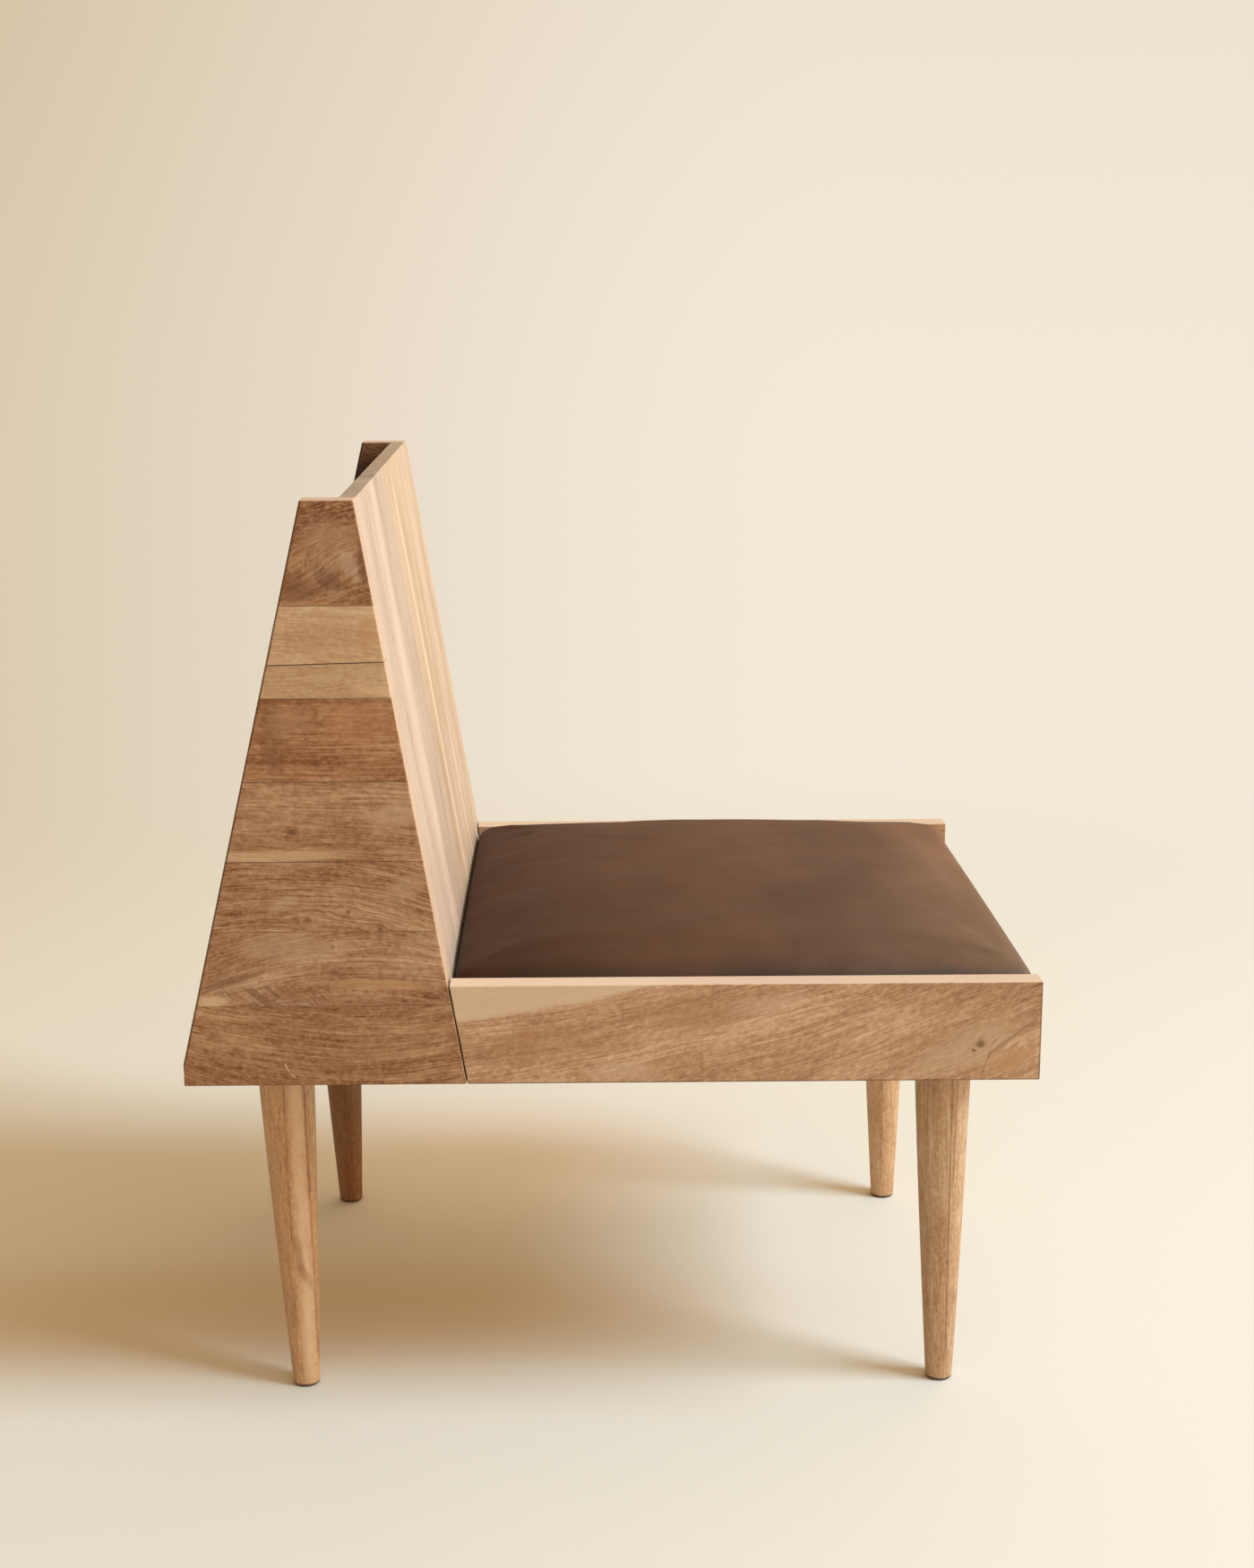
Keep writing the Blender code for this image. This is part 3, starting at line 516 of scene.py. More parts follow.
@dataclass(frozen=True)
class Plywood:
    """The seat board's plywood: a plain face and layered edges."""

    name: str = "seat_plywood"
    tones: tuple[Colour, ...] = ((0.470, 0.330, 0.190), (0.600, 0.440, 0.270), (0.690, 0.530, 0.350))
    layer: float = 0.0024

    def material(self) -> bpy.types.Material:
        """Build the plywood: veneer grain on the faces, and layers that turn dark and light on the edges."""
        material, graph, shader = new_material(self.name)
        place = graph.add("ShaderNodeTexCoord").outputs["Object"]
        veneer = graph.noise(place, (3, 95, 40), 4, 0.6).outputs[0]
        fibre = graph.noise(place, (40, 1300, 400), 2).outputs[0]
        tone = graph.math("MULTIPLY_ADD", fibre, 0.35, graph.math("MULTIPLY", veneer, 0.65))
        colour = graph.ramp(graph.spread(tone, 0.30, 0.70), self.tones)
        height = graph.add("ShaderNodeSeparateXYZ", {0: place}).outputs["Z"]
        turn = graph.math("SINE", graph.math("MULTIPLY", height, math.pi / self.layer))
        up = graph.add("ShaderNodeSeparateXYZ", {0: graph.add("ShaderNodeTexCoord").outputs["Normal"]})
        edge = graph.smooth(graph.math("ABSOLUTE", up.outputs["Z"]), 0.7, 0.3)
        layers = graph.math("MULTIPLY", graph.smooth(turn, -0.2, 0.2), edge)
        colour = graph.mix(graph.math("MULTIPLY", layers, 0.6), colour, (0.330, 0.205, 0.105))
        graph.tree.links.new(colour, shader.inputs["Base Color"])
        graph.tree.links.new(graph.spread(fibre, 0.3, 0.7, 0.9), shader.inputs["Roughness"])
        bump = graph.add("ShaderNodeBump", {"Strength": 0.25, "Distance": 0.0003, "Height": tone})
        graph.tree.links.new(bump.outputs[0], shader.inputs["Normal"])
        return material


@dataclass(frozen=True)
class Foam:
    """The pad's foam: pale, open-celled and without gloss."""

    name: str = "pad_foam"
    tones: tuple[Colour, ...] = ((0.640, 0.560, 0.330), (0.760, 0.690, 0.450), (0.840, 0.780, 0.560))

    def material(self) -> bpy.types.Material:
        """Build the foam: small open cells in a cloudy tone."""
        material, graph, shader = new_material(self.name)
        place = graph.add("ShaderNodeTexCoord").outputs["Object"]
        cells = graph.add("ShaderNodeTexVoronoi", {"Vector": graph.stretched(place, (900, 900, 900)),
                                                   "Scale": 1.0}).outputs["Distance"]
        cloud = graph.noise(place, (9, 9, 9), 3).outputs[0]
        tone = graph.math("MULTIPLY_ADD", cells, 0.6, graph.math("MULTIPLY", cloud, 0.5))
        graph.tree.links.new(graph.ramp(graph.spread(tone, 0.25, 0.85), self.tones),
                             shader.inputs["Base Color"])
        shader.inputs["Roughness"].default_value = 0.95
        shader.inputs["Specular IOR Level"].default_value = 0.15
        bump = graph.add("ShaderNodeBump", {"Strength": 0.6, "Distance": 0.0006, "Height": cells})
        graph.tree.links.new(bump.outputs[0], shader.inputs["Normal"])
        return material


@dataclass(frozen=True)
class Steel:
    """The screws' zinc-plated steel, a little clouded."""

    name: str = "screw_steel_finish"
    tones: tuple[Colour, ...] = ((0.420, 0.400, 0.360), (0.560, 0.540, 0.490), (0.680, 0.660, 0.610))

    def material(self) -> bpy.types.Material:
        """Build the plating: clouded tone and roughness, with fine scratches."""
        material, graph, shader = new_material(self.name)
        place = graph.add("ShaderNodeTexCoord").outputs["Object"]
        cloud = graph.noise(place, (420, 420, 420), 3, 0.6).outputs[0]
        scratch = graph.noise(place, (300, 3200, 3200), 2).outputs[0]
        graph.tree.links.new(graph.ramp(graph.spread(cloud, 0.3, 0.7), self.tones),
                             shader.inputs["Base Color"])
        shader.inputs["Metallic"].default_value = 1.0
        rough = graph.math("MULTIPLY_ADD", scratch, 0.20, graph.spread(cloud, 0.0, 1.0, 0.40))
        graph.tree.links.new(rough, shader.inputs["Roughness"])
        bump = graph.add("ShaderNodeBump", {"Strength": 0.15, "Distance": 0.0001, "Height": scratch})
        graph.tree.links.new(bump.outputs[0], shader.inputs["Normal"])
        return material


@dataclass
class PhotoCamera:
    """The camera at the photograph's angle."""

    place: Place = (-2.0892, 0.0193, 0.9518)
    down: float = math.radians(12.814)
    aside: float = math.radians(-0.970)
    roll: float = math.radians(-0.123)
    focal_pixels: float = 2674.9

    def build(self) -> None:
        """Add the camera and make it the scene's own."""
        data = bpy.data.cameras.new("photo_camera")
        data.sensor_width = SENSOR
        data.lens = self.focal_pixels * SENSOR / PHOTO_HEIGHT
        camera = bpy.data.objects.new("photo_camera", data)
        turn = (Matrix.Rotation(self.aside - math.pi / 2, 4, "Z")
                @ Matrix.Rotation(math.pi / 2 - self.down, 4, "X") @ Matrix.Rotation(self.roll, 4, "Z"))
        camera.matrix_world = Matrix.Translation(self.place) @ turn
        bpy.context.scene.collection.objects.link(camera)
        bpy.context.scene.camera = camera


@dataclass
class Studio:
    """A pale paper floor that fades into a plain background, one large soft lamp and a warm fill."""

    paper: Colour = (0.735, 0.795, 0.805)
    near_paper: float = 0.85
    far_paper: float = 2.3
    floor_radius: float = 60.0
    key_from: Place = (-0.32, -0.88, 0.84)
    key_distance: float = 6.0
    key_size: float = 2.45
    key_watts: float = 304.0
    key_colour: Colour = (0.83, 0.945, 0.99)
    front_fill: Colour = (1.130, 0.745, 0.418)
    rear_fill: Colour = (0.350, 0.217, 0.107)
    low_fill: Colour = (1.62, 1.55, 1.45)
    high_fill: Colour = (0.80, 0.84, 0.90)
    far_fill: Colour = (1.45, 1.40, 1.30)
    bright: Colour = (0.893, 0.815, 0.686)
    dim: Colour = (0.660, 0.529, 0.369)
    # Painted shade and light on the floor: a warm darker tint in the core of the chair's shadow and a lighter tint on
    # its far part.
    painted_shadow_tints: tuple[tuple[Place, Place, Colour], ...] = (
        ((-0.06, 0.30, 0), (0.17, 0.62, 1), (0.95, 0.83, 0.73)),
        ((0.32, 0.12, 0), (0.26, 0.34, 1), (1.16, 1.14, 1.17)))
    viewpoint: Place = PhotoCamera.place

    def build(self) -> None:
        """Add the floor, the lamp and the world."""
        self.build_floor()
        self.build_lamp()
        self.build_world()
        bpy.context.scene.view_settings.view_transform = "Standard"

    def background(self, graph: Graph, way: Socket) -> Socket:
        """Return the background's colour in a direction: dimmer away from the lamp and higher up."""
        parts = graph.add("ShaderNodeSeparateXYZ", {0: graph.vector("NORMALIZE", way)}).outputs
        aside = graph.smooth(parts["Y"], -0.113, 0.40)
        share = graph.math("MULTIPLY_ADD", graph.smooth(parts["Z"], -0.102, 0.30), 0.364, aside)
        return graph.mix(share, self.bright, self.dim)

    def build_floor(self) -> None:
        """Add the round paper floor."""
        work = bmesh.new()
        bmesh.ops.create_circle(work, cap_ends=True, radius=self.floor_radius, segments=96)
        mesh = bpy.data.meshes.new("paper_floor")
        work.to_mesh(mesh)
        work.free()
        floor = bpy.data.objects.new("paper_floor", mesh)
        bpy.context.scene.collection.objects.link(floor)
        mesh.materials.append(self.paper_material())

    def paper_material(self) -> bpy.types.Material:
        """Build the matt paper, with painted shade in the core of the chair's shadow and painted light on its far part,
        which fades into the background away from the chair.
        """
        material, graph, shader = new_material("floor_paper")
        place = graph.add("ShaderNodeTexCoord").outputs["Object"]
        colour = self.paper
        # Paint shade and light where the chair's shadow falls.
        for middle, reach, tint in self.painted_shadow_tints:
            off = graph.vector("DIVIDE", graph.vector("SUBTRACT", place, middle), reach)
            share = graph.smooth(graph.vector("LENGTH", off), 1.0, 0.2)
            colour = graph.mix(share, colour, graph.mix(1.0, colour, tint, "MULTIPLY"))
        graph.tree.links.new(colour, shader.inputs["Base Color"])
        shader.inputs["Roughness"].default_value = 0.95
        shader.inputs["Specular IOR Level"].default_value = 0.0
        way = graph.vector("SUBTRACT", place, self.viewpoint)
        glow = graph.add("ShaderNodeEmission", {"Color": self.background(graph, way)}).outputs[0]
        fade = graph.smooth(graph.vector("LENGTH", place), self.near_paper, self.far_paper)
        seen = graph.math("MULTIPLY", fade, graph.add("ShaderNodeLightPath").outputs["Is Camera Ray"])
        faded = graph.add("ShaderNodeMixShader", {0: seen, 1: shader.outputs[0], 2: glow}).outputs[0]
        output = material.node_tree.nodes["Material Output"]
        graph.tree.links.new(faded, output.inputs["Surface"])
        return material

    def build_lamp(self) -> None:
        """Add the soft key lamp, aimed at the seat."""
        data = bpy.data.lights.new("key_lamp", "AREA")
        data.shape = "SQUARE"
        data.size = self.key_size
        data.energy = self.key_watts
        data.color = self.key_colour
        lamp = bpy.data.objects.new("key_lamp", data)
        aim = Vector((0, 0, 0.35))
        way = Vector(self.key_from).normalized()
        turn = way.to_track_quat("Z", "Y").to_matrix().to_4x4()
        lamp.matrix_world = Matrix.Translation(aim + way * self.key_distance) @ turn
        bpy.context.scene.collection.objects.link(lamp)

    def build_world(self) -> None:
        """Light the room with a warm fill that the camera sees as the plain background."""
        world = bpy.data.worlds.new("studio_fill")
        world.use_nodes = True
        bpy.context.scene.world = world
        graph = Graph(world.node_tree)
        path = graph.add("ShaderNodeLightPath")
        seen = graph.math("MAXIMUM", path.outputs["Is Camera Ray"], path.outputs["Is Glossy Ray"])
        seen = graph.math("MAXIMUM", seen, path.outputs["Is Transmission Ray"])
        way = graph.add("ShaderNodeTexCoord").outputs["Generated"]
        parts = graph.add("ShaderNodeSeparateXYZ", {0: way}).outputs
        fill = graph.mix(graph.smooth(parts["Y"], -0.6, 0.6), self.front_fill, self.rear_fill)
        lift = graph.mix(graph.smooth(parts["Z"], 0.0, 0.8), self.low_fill, self.high_fill)
        beyond = graph.mix(graph.smooth(parts["X"], 0.0, 0.8), (1.0, 1.0, 1.0), self.far_fill)
        fill = graph.mix(1.0, graph.mix(1.0, fill, lift, "MULTIPLY"), beyond, "MULTIPLY")
        colour = graph.mix(seen, fill, self.background(graph, way))
        back = world.node_tree.nodes["Background"]
        world.node_tree.links.new(colour, back.inputs["Color"])


def dress(node: str, material: bpy.types.Material) -> None:
    """Give a CAD node its finish."""
    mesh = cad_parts[node].data
    mesh.materials.clear()
    mesh.materials.append(material)


def new_object(name: str, mesh: bpy.types.Mesh) -> bpy.types.Object:
    """Link a mesh to the scene as an object at the origin."""
    piece = bpy.data.objects.new(name, mesh)
    bpy.context.scene.collection.objects.link(piece)
    return piece


def new_mesh(name: str, work: bmesh.types.BMesh) -> bpy.types.Mesh:
    """Turn a working mesh into a mesh with its faces pointing outwards."""
    bmesh.ops.recalc_face_normals(work, faces=work.faces)
    mesh = bpy.data.meshes.new(name)
    work.to_mesh(mesh)
    work.free()
    return mesh


def evaluated(piece: bpy.types.Object) -> bpy.types.Mesh:
    """Return a plain mesh of an object with its modifiers applied."""
    shown = piece.evaluated_get(bpy.context.evaluated_depsgraph_get())
    return bpy.data.meshes.new_from_object(shown)


def apply_modifiers(piece: bpy.types.Object) -> None:
    """Replace an object's mesh with its evaluated one and remove its modifiers."""
    mesh = evaluated(piece)
    piece.modifiers.clear()
    piece.data = mesh


def shade_smooth(mesh: bpy.types.Mesh) -> None:
    """Shade all faces of a mesh smooth."""
    mesh.polygons.foreach_set("use_smooth", [True] * len(mesh.polygons))


@dataclass
class SidePanels:
    """The two wedge-shaped sides, each glued up from eight boards, numbered from the top."""

    # Share of painted highlight on the boards' edge faces that turn towards the lamp.
    edge_highlight_share: float = 0.85
    heel: tuple[float, float] = (0.342, 0.312)
    rear_slope: float = 0.2366
    # Dark colour of the joint lines, and of the painted shade line along the rear edges.
    line: Colour = (0.090, 0.042, 0.022)
    joints: tuple[float, ...] = (0.30, 0.0, 0.20, 0.35, 0.55, 0.05, 0.0, 0.6)

    def right_woods(self) -> tuple[Wood, ...]:
        """Return the woods of the side that the photograph shows, with their marks."""
        grey, vein = (0.470, 0.335, 0.235), (0.165, 0.075, 0.036)
        return (
            Wood("swirled_brown_board", (0.250, 0.119, 0.055), Grain.SIDE, 1.0, slope=-0.34, wander=0.012,
                 clouds=1.2, lines=1.1, specks=1.0, flecks=0.85,
                 fleck=(1.50, 2.00, 2.70), marks=(
                     Knot(0.201, 0.711, 0.008, strength=0.0, bulge=0.72, reach=5.5),
                     Flare(0.214, 0.726, 0.022, 0.014, (0.400, 0.270, 0.180), lean=0.5, strength=0.40),
                     Flare(0.216, 0.705, 0.012, 0.005, (0.130, 0.062, 0.034), lean=0.4, strength=0.55),
                     Flare(0.188, 0.717, 0.004, 0.014, (0.130, 0.062, 0.034), strength=0.60),
                     Flare(0.200, 0.7110, 0.009, 0.0035, (0.500, 0.380, 0.285), lean=0.5, strength=0.40),
                     Flare(0.244, 0.697, 0.024, 0.010, vein, strength=0.65),
                     Flare(0.215, 0.683, 0.036, 0.003, (0.430, 0.245, 0.125), strength=0.5))),
            Wood("light_tan_board", (0.484, 0.333, 0.207), Grain.SIDE, 2.0, slope=0.06, clouds=0.6,
                 bands=0.12, streaks=0.2, lines=0.4, specks=0.3, pores=0.12, flecks=0.15, marks=(
                     Flare(0.187, 0.657, 0.007, 0.016, (0.430, 0.240, 0.120), strength=0.45),)),
            Wood("narrow_tan_board", (0.441, 0.298, 0.177), Grain.SIDE, 3.0, slope=-0.10, clouds=0.6,
                 bands=0.12, streaks=0.2, lines=0.4, specks=0.3, pores=0.12, flecks=0.15, marks=(
                     Flare(0.165, 0.612, 0.030, 0.004, (0.600, 0.420, 0.270), lean=0.12, strength=0.6),)),
            Wood("red_board", (0.295, 0.145, 0.070), Grain.SIDE, 4.0, wander=0.004, clouds=1.3,
                 lines=0.7, specks=0.8, curl=0.40, flecks=0.34, marks=(
                     Flare(0.262, 0.575, 0.008, 0.030, vein, strength=0.40),
                     Flare(0.195, 0.588, 0.026, 0.016, (0.370, 0.165, 0.070), strength=0.35),
                     Flare(0.250, 0.590, 0.016, 0.010, (0.360, 0.215, 0.125), strength=0.45),
                     Score(0.163, 0.5712, 0.236, 0.5690, 0.0008, (0.520, 0.320, 0.185), strength=0.5),
                     Score(0.166, 0.5650, 0.228, 0.5640, 0.0007, (0.500, 0.300, 0.170), strength=0.5),
                     Score(0.170, 0.5600, 0.215, 0.5588, 0.0007, (0.480, 0.285, 0.160), strength=0.4))),
            Wood("wavy_brown_board", (0.306, 0.163, 0.085), Grain.SIDE, 5.0, bow=-0.7, bow_at=0.27,
                 wander=0.012, clouds=1.2, bands=0.5, lines=0.9, specks=0.7, marks=(
                     Knot(0.2490, 0.5022, 0.0030),
                     Flare(0.270, 0.4825, 0.060, 0.0048, (0.540, 0.390, 0.250), lean=-0.03, strength=0.65),
                     Flare(0.170, 0.516, 0.022, 0.009, grey, lean=-0.5, strength=0.5))),
            Wood("arched_brown_board", (0.309, 0.172, 0.089), Grain.SIDE, 6.0, bow=-1.3, bow_at=0.27,
                 wander=0.007, clouds=0.5, bands=0.8, streaks=1.1, lines=1.0, marks=(
                     Knot(0.2075, 0.4376, 0.0021), Knot(0.2398, 0.4308, 0.0028, strength=0.6),
                     Knot(0.1830, 0.4231, 0.0018),
                     Flare(0.258, 0.444, 0.012, 0.005, grey, lean=-0.5, strength=0.4),
                     Flare(0.165, 0.455, 0.020, 0.008, grey, lean=-0.6, strength=0.3))),
            Wood("clouded_brown_board", (0.310, 0.172, 0.092), Grain.SIDE, 7.0, bow=-1.4, bow_at=0.19,
                 wander=0.010, clouds=1.6, bands=0.5, marks=(
                     Knot(0.2210, 0.4088, 0.0021),
                     Flare(0.302, 0.3815, 0.026, 0.0032, vein, lean=-0.27, strength=0.6),
                     Flare(0.256, 0.408, 0.036, 0.012, grey, strength=0.45),
                     Flare(0.268, 0.368, 0.044, 0.0085, vein, strength=0.70, feather=0.8),
                     Flare(0.190, 0.378, 0.050, 0.004, (0.480, 0.290, 0.150), lean=0.05, strength=0.5),
                     Flare(0.318, 0.3645, 0.012, 0.0045, (0.560, 0.410, 0.270), strength=0.8))),
            Wood("long_grained_board", (0.295, 0.153, 0.075), Grain.SIDE, 8.0, bow=1.2, bow_at=0.20,
                 wander=0.008, bands=0.5, streaks=1.0, marks=(
                     Score(0.2614, 0.3127, 0.2582, 0.3060, 0.0007, (0.660, 0.470, 0.320)),
                     Score(0.2570, 0.3035, 0.2530, 0.3006, 0.0006, (0.600, 0.410, 0.270)))),
        )

    def left_woods(self) -> tuple[Wood, ...]:
        """Return the far side's woods: the same kinds, from other boards."""
        return tuple(replace(wood, name=f"left_{wood.name}", seed=wood.seed + 20.5, slope=0.05 - wood.slope,
                             bow=-0.6 * wood.bow, marks=tuple(mark for mark in wood.marks[:1]
                                                             if isinstance(mark, Knot)))
                     for wood in self.right_woods())

    def joint_and_rear_shade_lines(self, node: str, joint: float) -> tuple[Mark, ...]:
        """Return the dark lines along a board's lower joint and its rear edge; the line along the rear edge is painted
        shade.
        """
        low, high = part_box(node)
        heel_y, heel_z = self.heel
        foot, top = low[2] - 0.05, high[2] + 0.05
        rear = [heel_y - 0.0006 - self.rear_slope * (z - heel_z) for z in (foot, top)]
        return (Score(low[1] - 0.05, low[2], high[1] + 0.05, low[2], 0.0006, self.line, strength=joint),
                Score(rear[0], foot, rear[1], top, 0.0012, self.line, strength=0.8))

    def dress(self) -> None:
        """Give each board its own wood."""
        for hand, woods in (("right", self.right_woods()), ("left", self.left_woods())):
            for number, wood in enumerate(woods, start=1):
                node = f"{hand}_side_board_{number}"
                lines = self.joint_and_rear_shade_lines(node, self.joints[number - 1])
                # Each board gets painted highlight on its edge faces that turn towards the lamp, painted shade on its
                # faces towards the recess behind the back, and a painted shade line along its rear edge.
                dress(node, replace(wood, end=(1.0, 1.0, 1.0), painted_edge_highlight=self.edge_highlight_share,
                                    inner=(1.0 if hand == "right" else -1.0), seams_and_painted_shade=(RAKED_SEAM,),
                                    marks=wood.marks + lines).material())
            LOG.info("%s side: %d boards dressed", hand, len(woods))


@dataclass
class BackPanel:
    """The raked back: six pale boards on two battens."""

    tones: tuple[Colour, ...] = ((0.510, 0.418, 0.350), (0.540, 0.451, 0.384), (0.492, 0.398, 0.334),
                                 (0.543, 0.420, 0.318), (0.545, 0.424, 0.322), (0.552, 0.446, 0.350))

    marks: dict[int, tuple[Mark, ...]] = field(default_factory=lambda: {
        1: (Flare(0.590, -0.184, 0.012, 0.004, (0.330, 0.240, 0.175), strength=0.6),),
        2: (Flare(0.560, -0.126, 0.400, 0.016, (0.690, 0.585, 0.490), strength=0.40),),
        3: (Flare(0.420, -0.070, 0.150, 0.020, (0.460, 0.350, 0.280), strength=0.5),),
        4: (Score(0.300, 0.0570, 0.790, 0.0570, 0.0060, (0.740, 0.620, 0.510), strength=0.9),),
        5: (Flare(0.440, 0.157, 0.110, 0.014, (0.680, 0.570, 0.480), strength=0.6),)})

    def wood(self, number: int) -> Wood:
        """Return the wood of one board, counted from the right."""
        return Wood(f"pale_back_board_{number}", self.tones[number - 1], Grain.BACK, 50.0 + number * 1.7,
                    slope=0.004 * (number - 3), wander=0.004, clouds=0.8, bands=1.5, streaks=1.1, lines=0.5, specks=0.2,
                    fineness=0.3, marks=self.marks.get(number, ()), pores=0.14, flecks=0.10, fleck=(1.20, 1.28, 1.36), dark=(0.77, 0.71, 0.66),
                    light=(1.14, 1.18, 1.24), end=(0.63, 0.60, 0.56), edge_wear_and_highlight=0.0)

    def dress(self) -> None:
        """Give the boards and the battens their woods."""
        for number in range(1, len(self.tones) + 1):
            dress(f"back_board_{number}", self.wood(number).material())
        batten = Wood("batten_wood", (0.520, 0.335, 0.190), Grain.CROSS, 61.0, flecks=0.15).material()
        for level in ("lower", "upper"):
            dress(f"{level}_back_batten", batten)
        LOG.info("back: %d boards and 2 battens dressed", len(self.tones))


@dataclass
class SeatBox:
    """The box under the pad: side rails, cross rails, cleats and dowels."""

    rail: Colour = (0.419, 0.257, 0.152)
    frame_wood: Colour = (0.520, 0.335, 0.190)
    dowel: Colour = (0.640, 0.460, 0.285)

    def right_rail(self) -> Wood:
        """Return the wood of the rail that the photograph shows: sapwood, a knot and rising grain."""
        grey, line, brown = (0.430, 0.320, 0.205), (0.075, 0.035, 0.018), (0.230, 0.130, 0.065)
        # Its pale edge colour paints highlight on the rail's faces that turn towards the lamp, such as its top.
        return Wood("honey_rail", self.rail, Grain.SIDE, 31.0, bow=0.38, bow_at=0.256, wander=0.007,
                    clouds=0.9, bands=0.35, streaks=0.75, lines=0.38, specks=0.6, flecks=0.4, painted_edge_highlight=0.8,
                    edge=(0.700, 0.587, 0.500), end=(1.0, 1.0, 1.0), fleck=(1.24, 1.42, 1.64), marks=(
                        Flare(-0.061, 0.348, 0.040, 0.011, (0.345, 0.205, 0.095), strength=0.40),
                        Flare(0.048, 0.328, 0.060, 0.012, (0.360, 0.215, 0.105), strength=0.35),
                        Flare(-0.124, 0.3595, 0.032, 0.007, (0.520, 0.370, 0.270), lean=-0.2, strength=0.45),
                        Flare(-0.008, 0.303, 0.028, 0.007, (0.500, 0.360, 0.260), strength=0.45),
                        Flare(-0.282, 0.322, 0.044, 0.012, grey, lean=-0.42, strength=0.60),
                        Flare(-0.315, 0.311, 0.018, 0.009, (0.440, 0.255, 0.115), lean=-0.3, strength=0.65),
                        Knot(-0.2934, 0.3246, 0.0040, tone=(0.130, 0.064, 0.028), strength=0.80, reach=6.0,
                             bulge=0.55),
                        Knot(-0.2877, 0.3193, 0.0016, tone=(0.120, 0.065, 0.032), bulge=0.0),
                        Score(-0.2945, 0.2995, -0.3020, 0.3190, 0.0009, brown, strength=0.55),
                        Score(-0.3005, 0.3160, -0.3400, 0.3470, 0.0010, brown, strength=0.60),
                        Sapwood(0, 0, 0.3420, (0.595, 0.476, 0.348), strength=0.85),
                        Score(0.30, 0.2945, -0.45, 0.2945, 0.0009, line, strength=0.7),
                        Score(-0.3414, 0.25, -0.3414, 0.42, 0.0010, line, strength=0.7)),
                    seams_and_painted_shade=(RAKED_SEAM,))

    def dress(self) -> None:
        """Give every piece of the box its wood."""
        right = self.right_rail()
        left = replace(right, name="left_honey_rail", seed=44.0, bow=-0.2, bow_at=-0.1, seams_and_painted_shade=(), marks=(
            Knot(0.02, 0.330, 0.0030, tone=(0.130, 0.060, 0.028)),))
        dress("right_seat_rail", right.material())
        dress("left_seat_rail", left.material())
        cross = Wood("cross_rail_wood", self.frame_wood, Grain.CROSS, 71.0, slope=0.03, flecks=0.20)
        dress("front_rail", replace(right, name="front_honey_rail", grain=Grain.CROSS, seed=47.0, bow=0.1,
                                    bow_at=0.1, marks=(), seams_and_painted_shade=()).material())
        for number, node in enumerate(("rear_seat_rail", "front_leg_rail", "rear_leg_rail")):
            wood = replace(cross, name=f"{node}_wood", seed=71.0 + 3.1 * number)
            dress(node, wood.material())
        cleat = Wood("cleat_wood", self.frame_wood, Grain.SIDE, 81.0, flecks=0.15).material()
        dowel = Wood("dowel_wood", self.dowel, Grain.SIDE, 84.0, flecks=0.10, edge_wear_and_highlight=0.0).material()
        wedge = Wood("wedge_wood", self.dowel, Grain.LEG, 86.0, flecks=0.10, edge_wear_and_highlight=0.0).material()
        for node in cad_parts:
            if node.endswith("_seat_cleat"):
                dress(node, cleat)
            elif "_dowel_" in node:
                dress(node, dowel)
            elif node.endswith("_wedge"):
                dress(node, wedge)
        LOG.info("seat box: rails, cleats, dowels and wedges dressed")


